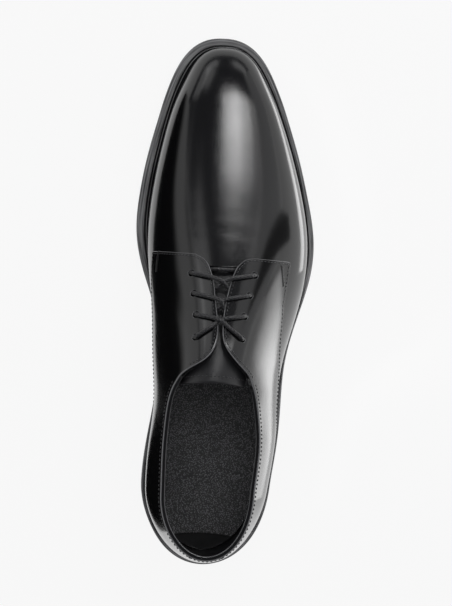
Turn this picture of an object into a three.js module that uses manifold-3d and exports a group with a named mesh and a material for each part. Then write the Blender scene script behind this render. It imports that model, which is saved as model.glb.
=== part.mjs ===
// Plain-toe derby dress shoe for the right foot, in millimetres.
// +Y points to the toe, +X to the outer side of the foot and +Z up. The floor is z = 0.
import * as THREE from "three";
import { mergeVertices } from "three/addons/utils/BufferGeometryUtils.js";
import Module from "manifold-3d";

const wasm = await Module();
wasm.setup();

// Driving sizes
const LENGTH = 305; // outsole, heel to toe
const SOLE_WIDTH = 104.5; // outsole across the ball
const UPPER_WIDTH = 92; // upper across the ball
const TOE_MARGIN = 7; // welt ahead of the upper
const HEEL_MARGIN = 5; // welt behind the upper
const HEEL_HEIGHT = 20.5; // floor to the outsole's underside at the back
const TOE_SPRING = 10; // floor to the outsole's underside at the toe
const INSTEP_HEIGHT = 88; // top of the welt to the crown at the fourth eyelet
const OUTSOLE_THICKNESS = 5;
const WELT_THICKNESS = 3;
const TOP_LIFT_THICKNESS = 6;
const WALL = 1.9; // vamp leather with its lining
const OVERLAY = 1; // quarter leather on top of the vamp
const GAP = 0.3; // clearance between pieces that touch

// Heel
const BREAST = 0.235; // heel breast from the back, share of LENGTH
const BREAST_HOLLOW = 4; // depth of the breast's curve
const HEEL_TAPER = 2.2; // how much narrower the heel stands at the floor, each side

// Welt
const WELT_SEAT = 6; // how far the welt reaches in under the upper
const BEAD_WIDTH = 1;
const BEAD_HEIGHT = 0.8;
const BEAD_PLACE = 0.42; // share of the way from the upper's foot to the welt's edge
const SOLE_EDGE = 0.8; // rounding of the outsole's and the welt's edge

// Insole
const INSOLE_THICKNESS = 2.5;

// Tongue
const TONGUE_THICKNESS = 2.6;
const TONGUE_DROP = 2.7; // room under the facings for the lace
const TONGUE_BACK = 0.353; // top edge, share of LENGTH from the heel
const TONGUE_FRONT = 0.595;
const TONGUE_HALF = 0.22; // half width at the top, share of UPPER_WIDTH
const TONGUE_CORNER = 0.95; // width of the very edge, share of the full width
const TONGUE_TAPER = 0.38; // how much narrower the front is, share
const TONGUE_HOLLOW = 2.5; // how far the top edge's ends stand back from its middle
const TONGUE_FALL = 0.2; // where it drops away from the vamp, share of its length

// Lace
const LACE_DIAMETER = 2.3;
const EYELET_DIAMETER = 4;
const BAR_SETBACK = 0.016; // from the vamp's edge back to the bar, share of LENGTH
const STRAND_SPOTS = [0.86, 0.6, 0.35]; // where a strand lies on a facing, shares of the way to its eyelet
const STRAND_BEND = 0.6; // below 1 a strand runs level over the facing and bends down past its edge
const DIVE = 0.45; // where a strand passes under the far facing, share of the way to the next row

// Ends of the rounded toe and heel, shares of LENGTH
const TOE_CENTRE = 0.859;
const HEEL_CENTRE = 0.148;
const UPPER_TOE_POWER = 2.4;
const SOLE_TOE_POWER = 2.4;
const HEEL_POWER = 2;
const LEAN_POWER = 1.3; // how late up the section the crown's sideways lean sets in

// Mesh steps
const TOE_STEPS = 10;
const SIDE_STEPS = 25;
const HEEL_STEPS = 8;
const OUTER_ROWS = 13;
const INNER_ROWS = 8;

// Sections of the shoe from heel to toe.
// along: share of LENGTH.
// centre, half and lean: upper, shares of UPPER_WIDTH. lean moves the crown sideways.
// soleCentre and soleHalf: outsole, shares of SOLE_WIDTH.
// lift and spring: underside of the outsole, shares of HEEL_HEIGHT and TOE_SPRING.
// crown: height above the welt, share of INSTEP_HEIGHT.
// foot, bulge, side and shoulder: control widths up the section, shares of the half width.
const NAMES = [
  "along", "centre", "half", "soleCentre", "soleHalf", "lift", "spring",
  "crown", "lean", "foot", "bulge", "side", "shoulder",
];
const SECTIONS = [
  // along, centre, half, soleCentre, soleHalf, lift, spring, crown, lean, foot, bulge, side, shoulder
  [0, -0.026, 0.337, -0.019, 0.35, 1, 0, 0.967, 0, 0.955, 1.03, 0.92, 0.82],
  [0.066, -0.027, 0.345, -0.014, 0.344, 0.985, 0, 1.017, -0.004, 0.95, 1.04, 0.81, 0.68],
  [0.148, -0.018, 0.366, -0.014, 0.355, 0.937, 0, 1.05, -0.02, 0.94, 1.065, 0.685, 0.53],
  [0.23, 0.01, 0.383, 0.011, 0.361, 0.878, 0, 1.05, -0.055, 0.92, 1.06, 0.68, 0.52],
  [0.311, 0.035, 0.383, 0.036, 0.351, 0.722, 0, 1.02, -0.092, 0.89, 1.05, 0.755, 0.47],
  [0.393, 0.036, 0.407, 0.053, 0.354, 0.517, 0, 0.977, -0.055, 0.84, 1.06, 0.81, 0.41],
  [0.475, 0.065, 0.452, 0.07, 0.4, 0.293, 0, 0.877, -0.065, 0.88, 1.05, 0.86, 0.43],
  [0.557, 0.075, 0.491, 0.063, 0.473, 0.107, 0, 0.76, -0.06, 0.93, 1.05, 0.9, 0.46],
  [0.623, 0.069, 0.497, 0.048, 0.499, 0.015, 0, 0.672, -0.049, 0.955, 1.05, 0.92, 0.51],
  [0.705, 0.054, 0.464, 0.031, 0.472, 0, -0.06, 0.565, -0.036, 0.96, 1.045, 0.95, 0.57],
  [0.787, 0.037, 0.404, 0.02, 0.419, 0, 0.02, 0.477, -0.023, 0.955, 1.04, 0.97, 0.61],
  [0.859, 0.02, 0.333, 0.01, 0.356, 0, 0.22, 0.403, -0.011, 0.95, 1.04, 0.98, 0.64],
  [0.918, 0.008, 0.27, 0, 0.31, 0, 0.49, 0.344, -0.003, 0.95, 1.04, 0.98, 0.65],
  [0.984, -0.003, 0.25, -0.008, 0.284, 0, 0.9, 0.27, 0, 0.95, 1.04, 0.98, 0.65],
].map((row) => Object.fromEntries(row.map((value, i) => [NAMES[i], value])));

// Heights of the section's control points, shares of the crown height: foot, bulge, side, shoulder.
const RISE = [0, 0.25, 0.6, 0.95];

// Topline seen from the side. along: share of LENGTH.
// rise: above the welt's top at the heel, share of INSTEP_HEIGHT.
const TOPLINE = [
  { along: -0.06, rise: 0.69 },
  { along: 0.027, rise: 0.68 },
  { along: 0.07, rise: 0.648 },
  { along: 0.134, rise: 0.595 },
  { along: 0.2, rise: 0.568 },
  { along: 0.25, rise: 0.577 },
  { along: 0.3, rise: 0.625 },
  { along: 0.33, rise: 0.672 },
  { along: 0.352, rise: 0.725 },
  { along: 0.37, rise: 0.79 },
  { along: 0.4, rise: 0.95 },
];

// Throat seen from above. along: share of LENGTH. centre: its middle. gap: from there to the facing's edge.
// centre and gap are shares of UPPER_WIDTH.
const THROAT = [
  { along: 0.34, centre: -0.022, gap: 0.13 },
  { along: 0.35, centre: -0.02, gap: 0.19 },
  { along: 0.359, centre: -0.017, gap: 0.203 },
  { along: 0.37, centre: -0.011, gap: 0.181 },
  { along: 0.389, centre: 0, gap: 0.114 },
  { along: 0.408, centre: 0.004, gap: 0.055 },
  { along: 0.427, centre: 0, gap: 0.024 },
  { along: 0.455, centre: 0, gap: 0.016 },
  { along: 0.497, centre: 0, gap: 0.033 },
  { along: 0.53, centre: 0.007, gap: 0.052 },
  { along: 0.556, centre: 0.011, gap: 0.08 },
  { along: 0.571, centre: 0.017, gap: 0.112 },
  { along: 0.58, centre: 0.02, gap: 0.155 },
];
const THROAT_END = 0.571; // where the vamp's own edge crosses the throat, share of LENGTH

// Lower edge of the quarters seen from the side. along: share of LENGTH.
// inner and outer: height above the floor on each side of the foot, shares of INSTEP_HEIGHT.
const QUARTER_SEAM = [
  { along: 0.581, inner: 0.505, outer: 0.618 },
  { along: 0.5, inner: 0.49, outer: 0.715 },
  { along: 0.42, inner: 0.515, outer: 0.698 },
  { along: 0.35, inner: 0.525, outer: 0.592 },
  { along: 0.3, inner: 0.5, outer: 0.565 },
  { along: 0.265, inner: 0.42, outer: 0.47 },
  { along: 0.245, inner: 0.28, outer: 0.3 },
  { along: 0.24, inner: 0.1, outer: 0.1 },
];
const QUARTER_SKEW = 0.04; // the quarters' front edge slants back to the outer side

// Eyelet rows from the throat up. along: share of LENGTH. out: from the crown line, share of UPPER_WIDTH.
// cross: where the lace crosses on its way to the next row, share of that way.
const EYELETS = [
  { along: 0.547, out: 0.192, cross: 0.4 },
  { along: 0.51, out: 0.168, cross: 0.36 },
  { along: 0.472, out: 0.145, cross: 0.22 },
  { along: 0.432, out: 0.14 },
];

const WELT_TOP = OUTSOLE_THICKNESS + GAP + WELT_THICKNESS;

// Natural cubic spline through x and y, which runs on straight past its ends.
function spline(xs, ys) {
  const n = xs.length;
  const bend = new Array(n).fill(0);
  const upper = new Array(n).fill(0);
  const right = new Array(n).fill(0);
  for (let i = 1; i < n - 1; i++) {
    const before = xs[i] - xs[i - 1];
    const after = xs[i + 1] - xs[i];
    const slope = (ys[i + 1] - ys[i]) / after - (ys[i] - ys[i - 1]) / before;
    const pivot = 2 * (before + after) - before * upper[i - 1];
    upper[i] = after / pivot;
    right[i] = (6 * slope - before * right[i - 1]) / pivot;
  }
  for (let i = n - 2; i > 0; i--) bend[i] = right[i] - upper[i] * bend[i + 1];
  return (x) => {
    let i = 0;
    while (i < n - 2 && x > xs[i + 1]) i++;
    const h = xs[i + 1] - xs[i];
    const at = Math.min(Math.max(x, xs[0]), xs[n - 1]);
    const a = (xs[i + 1] - at) / h;
    const b = 1 - a;
    const curve = (a ** 3 - a) * bend[i] + (b ** 3 - b) * bend[i + 1];
    const tilt = (1 - 3 * a * a) * bend[i] + (3 * b * b - 1) * bend[i + 1];
    const value = a * ys[i] + b * ys[i + 1] + (curve * h * h) / 6;
    const slope = (ys[i + 1] - ys[i]) / h + (tilt * h) / 6;
    return value + slope * (x - at);
  };
}

// A smooth curve through a table's column, by the place along the shoe.
function columnOf(table, name) {
  return spline(
    table.map((row) => row.along),
    table.map((row) => row[name]),
  );
}

const COLUMN = Object.fromEntries(NAMES.slice(1).map((name) => [name, columnOf(SECTIONS, name)]));
const THROAT_GAP = columnOf(THROAT, "gap");

// A column of the section table at a place along the shoe.
function at(name, y) {
  return COLUMN[name](y / LENGTH);
}

// Underside of the outsole.
function underside(y) {
  return Math.max(0, at("lift", y) * HEEL_HEIGHT + at("spring", y) * TOE_SPRING);
}

// Top of the welt, with the clearance that the upper keeps to it.
function footHeight(y) {
  return underside(y) + WELT_TOP + GAP;
}

function crownHeight(y) {
  return footHeight(y) + at("crown", y) * INSTEP_HEIGHT;
}

// Half width of a rounded end, as a share, at a share of the way to its tip.
function rounded(share, power) {
  return (1 - Math.min(1, Math.abs(share)) ** power) ** (1 / power);
}

const TOE_Y = TOE_CENTRE * LENGTH;
const HEEL_Y = HEEL_CENTRE * LENGTH;
const SOLE_TIPS = { toe: LENGTH, heel: 0 };
const UPPER_TIPS = { toe: LENGTH - TOE_MARGIN, heel: HEEL_MARGIN };

// Stations of an outline whose ends lie at tips, from the toe tip back to the heel tip.
// out is how much of the half width the outline keeps there.
function stations(tips, toePower) {
  const list = [];
  for (let i = 0; i < TOE_STEPS; i++) {
    const share = Math.cos(((Math.PI / 2) * i) / TOE_STEPS) ** (2 / toePower);
    list.push({ share, centre: TOE_Y, reach: tips.toe - TOE_Y, out: rounded(share, toePower) });
  }
  for (let i = 0; i <= SIDE_STEPS; i++) {
    const y = TOE_Y + ((HEEL_Y - TOE_Y) * i) / SIDE_STEPS;
    list.push({ share: 0, centre: y, reach: 0, out: 1 });
  }
  for (let i = HEEL_STEPS - 1; i >= 0; i--) {
    const share = Math.cos(((Math.PI / 2) * i) / HEEL_STEPS) ** (2 / HEEL_POWER);
    list.push({ share, centre: HEEL_Y, reach: tips.heel - HEEL_Y, out: rounded(share, HEEL_POWER) });
  }
  return list;
}

// Control point weights of a uniform cubic B-spline.
function weights(f) {
  return [
    (1 - f) ** 3 / 6,
    (3 * f ** 3 - 6 * f * f + 4) / 6,
    (-3 * f ** 3 + 3 * f * f + 3 * f + 1) / 6,
    f ** 3 / 6,
  ];
}

// Width and height shares of the section at t, from 0 at the foot to 1 on the crown.
function sectionShape(y, t) {
  const widths = ["foot", "bulge", "side", "shoulder"].map((name) => at(name, y));
  const top = (6 - 2 * RISE[3]) / 4;
  const wide = [2 * widths[0] - widths[1], ...widths, 0, -widths[3]];
  const high = [2 * RISE[0] - RISE[1], ...RISE, top, RISE[3]];
  const place = Math.min(t, 1) * 4;
  const i = Math.min(3, Math.floor(place));
  const w = weights(place - i);
  const sum = (list) => w.reduce((total, weight, j) => total + weight * list[i + j], 0);
  return { width: sum(wide), height: sum(high) };
}

// A point of the upper's surface. grow moves the surface out from the vamp's face.
function upperPoint(station, side, t, grow) {
  const outlineY = station.centre + station.share * station.reach;
  const shape = sectionShape(outlineY, t);
  const reach = station.reach + Math.sign(station.reach) * grow;
  const y = station.centre + shape.width * station.share * reach;
  const half = at("half", y) * UPPER_WIDTH + grow;
  const centre = (at("centre", y) + at("lean", y) * shape.height ** LEAN_POWER) * UPPER_WIDTH;
  const rise = (crownHeight(y) - footHeight(y) + grow) * shape.height;
  return new THREE.Vector3(centre + side * shape.width * station.out * half, y, footHeight(y) + rise);
}

// Height of the upper's surface above a place given by y and the distance out from the crown line.
function crownPoint(y, out, grow) {
  const station = { share: 0, centre: y, reach: 0, out: 1 };
  const side = Math.sign(out) || 1;
  const crown = (at("centre", y) + at("lean", y)) * UPPER_WIDTH;
  const halvings = 40;
  let low = 0.3;
  let high = 1;
  for (let i = 0; i < halvings; i++) {
    const middle = (low + high) / 2;
    const x = upperPoint(station, side, middle, grow).x - crown;
    if (x * side > out * side) low = middle;
    else high = middle;
  }
  return upperPoint(station, side, high, grow);
}

// One closed surface from rings of points, each ring as long as the next. Each ring runs toe, outer side,
// heel, inner side, so the first and last ring are capped by strips between mirrored points.
function closedSurface(rings) {
  const positions = [];
  const triangles = [];
  const count = rings[0].length;
  rings.forEach((ring) => ring.forEach((p) => positions.push(p.x, p.y, p.z)));
  const index = (ring, i) => ring * count + (i % count);
  for (let r = 0; r + 1 < rings.length; r++) {
    for (let i = 0; i < count; i++) {
      triangles.push(index(r, i), index(r + 1, i), index(r + 1, i + 1));
      triangles.push(index(r, i), index(r + 1, i + 1), index(r, i + 1));
    }
  }
  const cap = (r, turned) => {
    for (let i = 0; i + 1 <= count / 2; i++) {
      const quad = [index(r, i), index(r, i + 1), index(r, count - i - 1), index(r, count - i)];
      const [a, b, c, d] = turned ? quad.reverse() : quad;
      triangles.push(a, b, c, a, c, d);
    }
  };
  cap(0, false);
  cap(rings.length - 1, true);
  return solid(positions, triangles);
}

// A closed band of four or more rings whose last ring joins the first.
function closedBand(rings) {
  const positions = [];
  const triangles = [];
  const count = rings[0].length;
  rings.forEach((ring) => ring.forEach((p) => positions.push(p.x, p.y, p.z)));
  const index = (ring, i) => (ring % rings.length) * count + (i % count);
  for (let r = 0; r < rings.length; r++) {
    for (let i = 0; i < count; i++) {
      triangles.push(index(r, i), index(r + 1, i), index(r + 1, i + 1));
      triangles.push(index(r, i), index(r + 1, i + 1), index(r, i + 1));
    }
  }
  return solid(positions, triangles);
}

// A manifold solid from loose points and triangles: equal points are merged and collapsed triangles dropped.
function solid(positions, triangles) {
  const geometry = new THREE.BufferGeometry();
  geometry.setAttribute("position", new THREE.Float32BufferAttribute(positions, 3));
  geometry.setIndex(triangles);
  const merged = mergeVertices(geometry, 1e-4);
  const kept = [];
  const index = merged.index.array;
  for (let i = 0; i < index.length; i += 3) {
    const [a, b, c] = [index[i], index[i + 1], index[i + 2]];
    if (a !== b && b !== c && c !== a) kept.push(a, b, c);
  }
  const vertProperties = new Float32Array(merged.attributes.position.array);
  const triVerts = new Uint32Array(kept);
  return new wasm.Manifold(new wasm.Mesh({ numProp: 3, vertProperties, triVerts }));
}

// A solid from a three.js geometry.
function solidOf(geometry) {
  const plain = geometry.index ? geometry.toNonIndexed() : geometry;
  const positions = Array.from(plain.attributes.position.array);
  return solid(positions, [...Array(positions.length / 3).keys()]);
}

function geometryOf(made) {
  const mesh = made.getMesh();
  const geometry = new THREE.BufferGeometry();
  geometry.setAttribute("position", new THREE.BufferAttribute(mesh.vertProperties, 3));
  geometry.setIndex(new THREE.BufferAttribute(mesh.triVerts, 1));
  geometry.computeVertexNormals();
  return geometry;
}

// A ring of outline points from the stations of one side and their mirror.
function ring(list, place) {
  const outer = list.map((station) => place(station, 1));
  const inner = list.map((station) => place(station, -1)).reverse();
  return [...outer, ...inner.slice(1, -1)];
}

// The whole last as a closed solid, grown by a distance and carried down below the foot.
function lastSolid(grow, rows, below) {
  const list = stations(UPPER_TIPS, UPPER_TOE_POWER);
  const rings = [];
  for (let j = 0; j <= rows; j++) {
    rings.push(ring(list, (station, side) => upperPoint(station, side, j / rows, grow)));
  }
  if (below > 0) rings.unshift(rings[0].map((p) => new THREE.Vector3(p.x, p.y, p.z - below)));
  return closedSurface(rings);
}

// Smooth outline through the rows of a table.
function smoothOutline(points, steps) {
  return new THREE.SplineCurve(points).getPoints(steps);
}

// A straight extrusion of an outline.
function extruded(outline, depth) {
  return new THREE.ExtrudeGeometry(new THREE.Shape(outline), { depth, bevelEnabled: false, steps: 1 });
}

// A prism along X, between two places, from an outline in Y and Z. Its sides are slanted by skew.
function sidePrism(outline, skew, from, to) {
  const basis = new THREE.Matrix4().makeBasis(
    new THREE.Vector3(0, 1, 0),
    new THREE.Vector3(0, 0, 1),
    new THREE.Vector3(1, -skew, 0),
  );
  basis.setPosition(from, -skew * from, 0);
  return solidOf(extruded(outline, to - from).applyMatrix4(basis));
}

// A prism along Z from an outline in X and Y.
function planPrism(outline) {
  return solidOf(extruded(outline, 2 * INSTEP_HEIGHT));
}

function collarCutter() {
  const base = footHeight(0);
  const points = TOPLINE.map((row) => {
    return new THREE.Vector2(row.along * LENGTH, base + row.rise * INSTEP_HEIGHT);
  });
  const line = smoothOutline(points, 60);
  const last = line[line.length - 1];
  const first = line[0];
  const high = base + 2 * INSTEP_HEIGHT;
  const outline = [...line, new THREE.Vector2(last.x, high), new THREE.Vector2(first.x, high)];
  return sidePrism(outline, 0, -SOLE_WIDTH, SOLE_WIDTH);
}

// The throat's outline from above, as far forward as the rows of the table reach.
function throatOutline(rows) {
  const edge = (side) =>
    smoothOutline(
      rows.map((row) => {
        const x = (row.centre + side * row.gap) * UPPER_WIDTH;
        return new THREE.Vector2(x, row.along * LENGTH);
      }),
      40,
    );
  return [...edge(1), ...edge(-1).reverse()];
}

// Everything behind the front edge and above the seam on one side of the foot.
function quarterSide(side, from, to) {
  const seam = QUARTER_SEAM.map((row) => new THREE.Vector2(row.along * LENGTH, row[side] * INSTEP_HEIGHT));
  const line = smoothOutline(seam.slice(1), 30);
  const high = 2 * INSTEP_HEIGHT;
  const outline = [
    new THREE.Vector2(seam[0].x, high),
    seam[0],
    ...line,
    new THREE.Vector2(line[line.length - 1].x, -HEEL_HEIGHT),
    new THREE.Vector2(-HEEL_Y, -HEEL_HEIGHT),
    new THREE.Vector2(-HEEL_Y, high),
  ];
  return sidePrism(outline.reverse(), QUARTER_SKEW, from, to);
}

// The quarters' share of a thicker upper: both sides outside the throat.
function quarterRegion() {
  const inner = quarterSide("inner", -SOLE_WIDTH, 0);
  const outer = quarterSide("outer", 0, SOLE_WIDTH);
  return inner.add(outer).subtract(planPrism(throatOutline(THROAT)));
}

// An eyelet's place on the quarter's face.
function eyeletPoint(row, side) {
  return crownPoint(row.along * LENGTH, side * row.out * UPPER_WIDTH, OVERLAY);
}

// A round hole through the wall, square to the quarter's face.
function eyeletCutter(row, side) {
  const out = side * row.out * UPPER_WIDTH;
  const y = row.along * LENGTH;
  const step = 1;
  const point = eyeletPoint(row, side);
  const across = crownPoint(y, out + step, OVERLAY).sub(crownPoint(y, out - step, OVERLAY));
  const lengthwise = crownPoint(y + step, out, OVERLAY).sub(crownPoint(y - step, out, OVERLAY));
  const normal = across.cross(lengthwise).normalize();
  const depth = 4 * (WALL + OVERLAY);
  const geometry = new THREE.CylinderGeometry(EYELET_DIAMETER / 2, EYELET_DIAMETER / 2, depth, 12);
  geometry.applyQuaternion(new THREE.Quaternion().setFromUnitVectors(new THREE.Vector3(0, 1, 0), normal));
  geometry.translate(point.x, point.y, point.z);
  return solidOf(geometry);
}

function makeUpper() {
  const vamp = lastSolid(0, OUTER_ROWS, 0);
  const thick = lastSolid(OVERLAY, OUTER_ROWS, 0);
  const inside = lastSolid(-WALL, INNER_ROWS, WELT_TOP);
  const slotRows = THROAT.filter((row) => row.along <= THROAT_END);
  let made = vamp.add(thick.intersect(quarterRegion()));
  made = made.subtract(inside);
  made = made.subtract(collarCutter());
  made = made.subtract(planPrism(throatOutline(slotRows)));
  for (const row of EYELETS) {
    for (const side of [-1, 1]) made = made.subtract(eyeletCutter(row, side));
  }
  return made;
}

// A point on the edge of a sole layer, moved in from the outsole's outline.
function solePoint(station, side, inset, height) {
  const reach = station.reach - Math.sign(station.reach) * inset;
  const y = station.centre + station.share * reach;
  const half = at("soleHalf", y) * SOLE_WIDTH - inset;
  const x = at("soleCentre", y) * SOLE_WIDTH + side * station.out * half;
  return new THREE.Vector3(x, y, underside(y) + height);
}

// A point on the upper's foot line, moved out by a distance.
function footPoint(station, side, out, height) {
  const point = upperPoint(station, side, 0, out);
  return new THREE.Vector3(point.x, point.y, underside(point.y) + height);
}

function makeOutsole() {
  const list = stations(SOLE_TIPS, SOLE_TOE_POWER);
  const rings = [
    [SOLE_EDGE, 0],
    [0, SOLE_EDGE],
    [0, OUTSOLE_THICKNESS - SOLE_EDGE / 2],
    [SOLE_EDGE / 2, OUTSOLE_THICKNESS],
  ].map(([inset, height]) => ring(list, (station, side) => solePoint(station, side, inset, height)));
  return closedSurface(rings);
}

function makeWelt() {
  const soleList = stations(SOLE_TIPS, SOLE_TOE_POWER);
  const upperList = stations(UPPER_TIPS, UPPER_TOE_POWER);
  const bottom = OUTSOLE_THICKNESS + GAP;
  const top = bottom + WELT_THICKNESS;
  const rim = (inset, height) => ring(soleList, (spot, side) => solePoint(spot, side, inset, height));
  const foot = (out, height) => ring(upperList, (spot, side) => footPoint(spot, side, out, height));
  const edge = rim(0, top);
  const seat = foot(0, top);
  const bead = (out, height) =>
    seat.map((start, i) => {
      const way = edge[i].clone().sub(start).setZ(0);
      const point = start.clone().addScaledVector(way, BEAD_PLACE + out / way.length());
      return point.setZ(underside(point.y) + height);
    });
  return closedBand([
    rim(SOLE_EDGE / 2, bottom),
    rim(0, bottom + SOLE_EDGE),
    rim(0, top - SOLE_EDGE),
    rim(SOLE_EDGE, top),
    bead(BEAD_WIDTH / 2, top),
    bead(0, top + BEAD_HEIGHT),
    bead(-BEAD_WIDTH / 2, top),
    foot(-WELT_SEAT, top),
    foot(-WELT_SEAT, bottom),
  ]);
}

// Layers of the heel: rings whose front is cut by the breast's curve.
function heelLayer(bottom, top) {
  const list = stations(SOLE_TIPS, SOLE_TOE_POWER).filter((station) => station.centre <= BREAST * LENGTH);
  const full = underside(0);
  const layerRing = (z) => {
    const points = (side) =>
      list.map((station) => {
        const inset = HEEL_TAPER * (1 - Math.min(1, z / full)) + GAP;
        const point = solePoint(station, side, inset, 0);
        point.z = Math.min(z, underside(point.y) - GAP);
        return point;
      });
    const outer = points(1);
    const inner = points(-1).reverse();
    const front = outer[0];
    const back = inner[inner.length - 1];
    const breast = [];
    const steps = 6;
    for (let i = 1; i < steps; i++) {
      const share = i / steps;
      const point = back.clone().lerp(front, share);
      point.y -= BREAST_HOLLOW * 4 * share * (1 - share);
      point.z = Math.min(z, underside(point.y) - GAP);
      breast.push(point);
    }
    return [...outer, ...inner.slice(1), ...breast];
  };
  return prismOf(layerRing(bottom), layerRing(top));
}

// A solid between two rings of the same shape, capped with flat triangulations seen from above.
function prismOf(lower, upper) {
  const positions = [];
  [...lower, ...upper].forEach((p) => positions.push(p.x, p.y, p.z));
  const count = lower.length;
  const triangles = [];
  for (let i = 0; i < count; i++) {
    const next = (i + 1) % count;
    triangles.push(i, i + count, next + count, i, next + count, next);
  }
  const faces = THREE.ShapeUtils.triangulateShape(lower.map((p) => new THREE.Vector2(p.x, p.y)), []);
  faces.forEach(([a, b, c]) => {
    const first = lower[b].clone().sub(lower[a]);
    const second = lower[c].clone().sub(lower[a]);
    const [p, q] = first.cross(second).z < 0 ? [b, c] : [c, b];
    triangles.push(a, p, q);
    triangles.push(a + count, q + count, p + count);
  });
  return solid(positions, triangles);
}

function makeInsole() {
  const list = stations(UPPER_TIPS, UPPER_TOE_POWER);
  const low = OUTSOLE_THICKNESS + 2 * GAP;
  const seat = WELT_TOP + GAP;
  const top = seat + INSOLE_THICKNESS;
  const foot = (out, height) => ring(list, (station, side) => footPoint(station, side, out, height));
  return closedSurface([
    foot(-WELT_SEAT - GAP, low),
    foot(-WELT_SEAT - GAP, seat),
    foot(-WALL - GAP, seat),
    foot(-WALL - GAP, top),
  ]);
}

// The tongue follows the crown under the facings, close to the vamp at its front and lower behind it.
function makeTongue() {
  const steps = 16;
  const across = 10;
  const grid = (depth) => {
    const rows = [];
    for (let i = 0; i <= steps; i++) {
      const share = i / steps;
      const y = (TONGUE_BACK + (TONGUE_FRONT - TONGUE_BACK) * share) * LENGTH;
      const corner = Math.min(1, TONGUE_CORNER + share);
      const half = TONGUE_HALF * UPPER_WIDTH * corner * (1 - TONGUE_TAPER * share);
      const drop = GAP + TONGUE_DROP * Math.min(1, (1 - share) / TONGUE_FALL);
      const row = [];
      for (let j = 0; j <= across; j++) {
        const out = (2 * j) / across - 1;
        const back = TONGUE_HOLLOW * out * out * (1 - share);
        row.push(crownPoint(y - back, out * half, -WALL - drop - depth));
      }
      rows.push(row);
    }
    return rows;
  };
  return sheet(grid(0), grid(TONGUE_THICKNESS));
}

// A closed sheet from an upper and a lower grid of points.
function sheet(upper, lower) {
  const rows = upper.length;
  const columns = upper[0].length;
  const positions = [];
  [upper, lower].forEach((grid) => grid.forEach((row) => row.forEach((p) => positions.push(p.x, p.y, p.z))));
  const index = (layer, i, j) => (layer * rows + i) * columns + j;
  const triangles = [];
  const quad = (a, b, c, d) => triangles.push(a, b, c, a, c, d);
  for (let i = 0; i + 1 < rows; i++) {
    for (let j = 0; j + 1 < columns; j++) {
      quad(index(0, i, j), index(0, i, j + 1), index(0, i + 1, j + 1), index(0, i + 1, j));
      quad(index(1, i, j), index(1, i + 1, j), index(1, i + 1, j + 1), index(1, i, j + 1));
    }
    quad(index(0, i, 0), index(0, i + 1, 0), index(1, i + 1, 0), index(1, i, 0));
    const end = columns - 1;
    quad(index(0, i + 1, end), index(0, i, end), index(1, i, end), index(1, i + 1, end));
  }
  for (let j = 0; j + 1 < columns; j++) {
    quad(index(0, 0, j + 1), index(0, 0, j), index(1, 0, j), index(1, 0, j + 1));
    quad(index(0, rows - 1, j), index(0, rows - 1, j + 1), index(1, rows - 1, j + 1), index(1, rows - 1, j));
  }
  return solid(positions, triangles);
}

// A round cord along a smooth line.
function cord(points) {
  const section = new THREE.Shape();
  section.absarc(0, 0, LACE_DIAMETER / 2, 0, 2 * Math.PI);
  const extrudePath = new THREE.CatmullRomCurve3(points);
  const options = { steps: 11, curveSegments: 4, bevelEnabled: false, extrudePath };
  return solidOf(new THREE.ExtrudeGeometry(section, options));
}

// A strand over one facing: from above its eyelet to the facing's edge, then to the middle of the throat.
// end is where the strand stops past the middle: the far eyelet's row and how far out it gets.
function strand(row, side, crossing, end, lift) {
  const clear = OVERLAY + GAP + LACE_DIAMETER / 2;
  const start = eyeletPoint(row, side);
  const startOut = row.out * UPPER_WIDTH;
  const points = STRAND_SPOTS.map((share) => {
    const y = THREE.MathUtils.lerp(crossing * LENGTH, start.y, share ** STRAND_BEND);
    return crownPoint(y, side * startOut * share, clear);
  });
  const middle = crownPoint(crossing * LENGTH, 0, clear + lift);
  points.push(middle);
  end.forEach(([along, out, height]) => {
    points.push(crownPoint(along * LENGTH, -side * out * UPPER_WIDTH, clear + height));
  });
  return cord(points);
}

// Crossings of the lace: from eyelet row i to row i + 1.
function makeCrossing(i) {
  const row = EYELETS[i];
  const next = EYELETS[i + 1];
  const crossing = THREE.MathUtils.lerp(row.along, next.along, row.cross);
  const last = i === EYELETS.length - 2;
  const stop = THREE.MathUtils.lerp(crossing, next.along, DIVE);
  const edge = THROAT_GAP(stop) - (0.8 * LACE_DIAMETER + GAP) / UPPER_WIDTH;
  const dive = [[stop, Math.max(0, edge), -LACE_DIAMETER / 3]];
  const over = [...STRAND_SPOTS].reverse().map((share) => [
    THREE.MathUtils.lerp(crossing, next.along, share),
    next.out * share,
    0,
  ]);
  const end = last ? over : dive;
  const first = strand(row, -1, crossing, end, LACE_DIAMETER / 2);
  const second = strand(row, 1, crossing, end, 0);
  return first.add(second);
}

// The straight bar across the throat, between the facings.
function makeBar() {
  const along = THROAT_END - BAR_SETBACK;
  const reach = THROAT_GAP(along - LACE_DIAMETER / LENGTH) * UPPER_WIDTH - GAP;
  const clear = LACE_DIAMETER / 2 - WALL;
  return cord([-1, -0.4, 0.4, 1].map((share) => crownPoint(along * LENGTH, share * reach, clear)));
}

const LEATHER = { color: 0x0d0d0f, roughness: 0.22, metalness: 0 };
const RUBBER = { color: 0x121212, roughness: 0.6, metalness: 0 };
const LINING = { color: 0x17171a, roughness: 0.55, metalness: 0 };
const CORD = { color: 0x1c1c20, roughness: 0.5, metalness: 0 };

function piece(name, made, look) {
  const mesh = new THREE.Mesh(geometryOf(made), new THREE.MeshStandardMaterial(look));
  mesh.name = name;
  return mesh;
}

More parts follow.
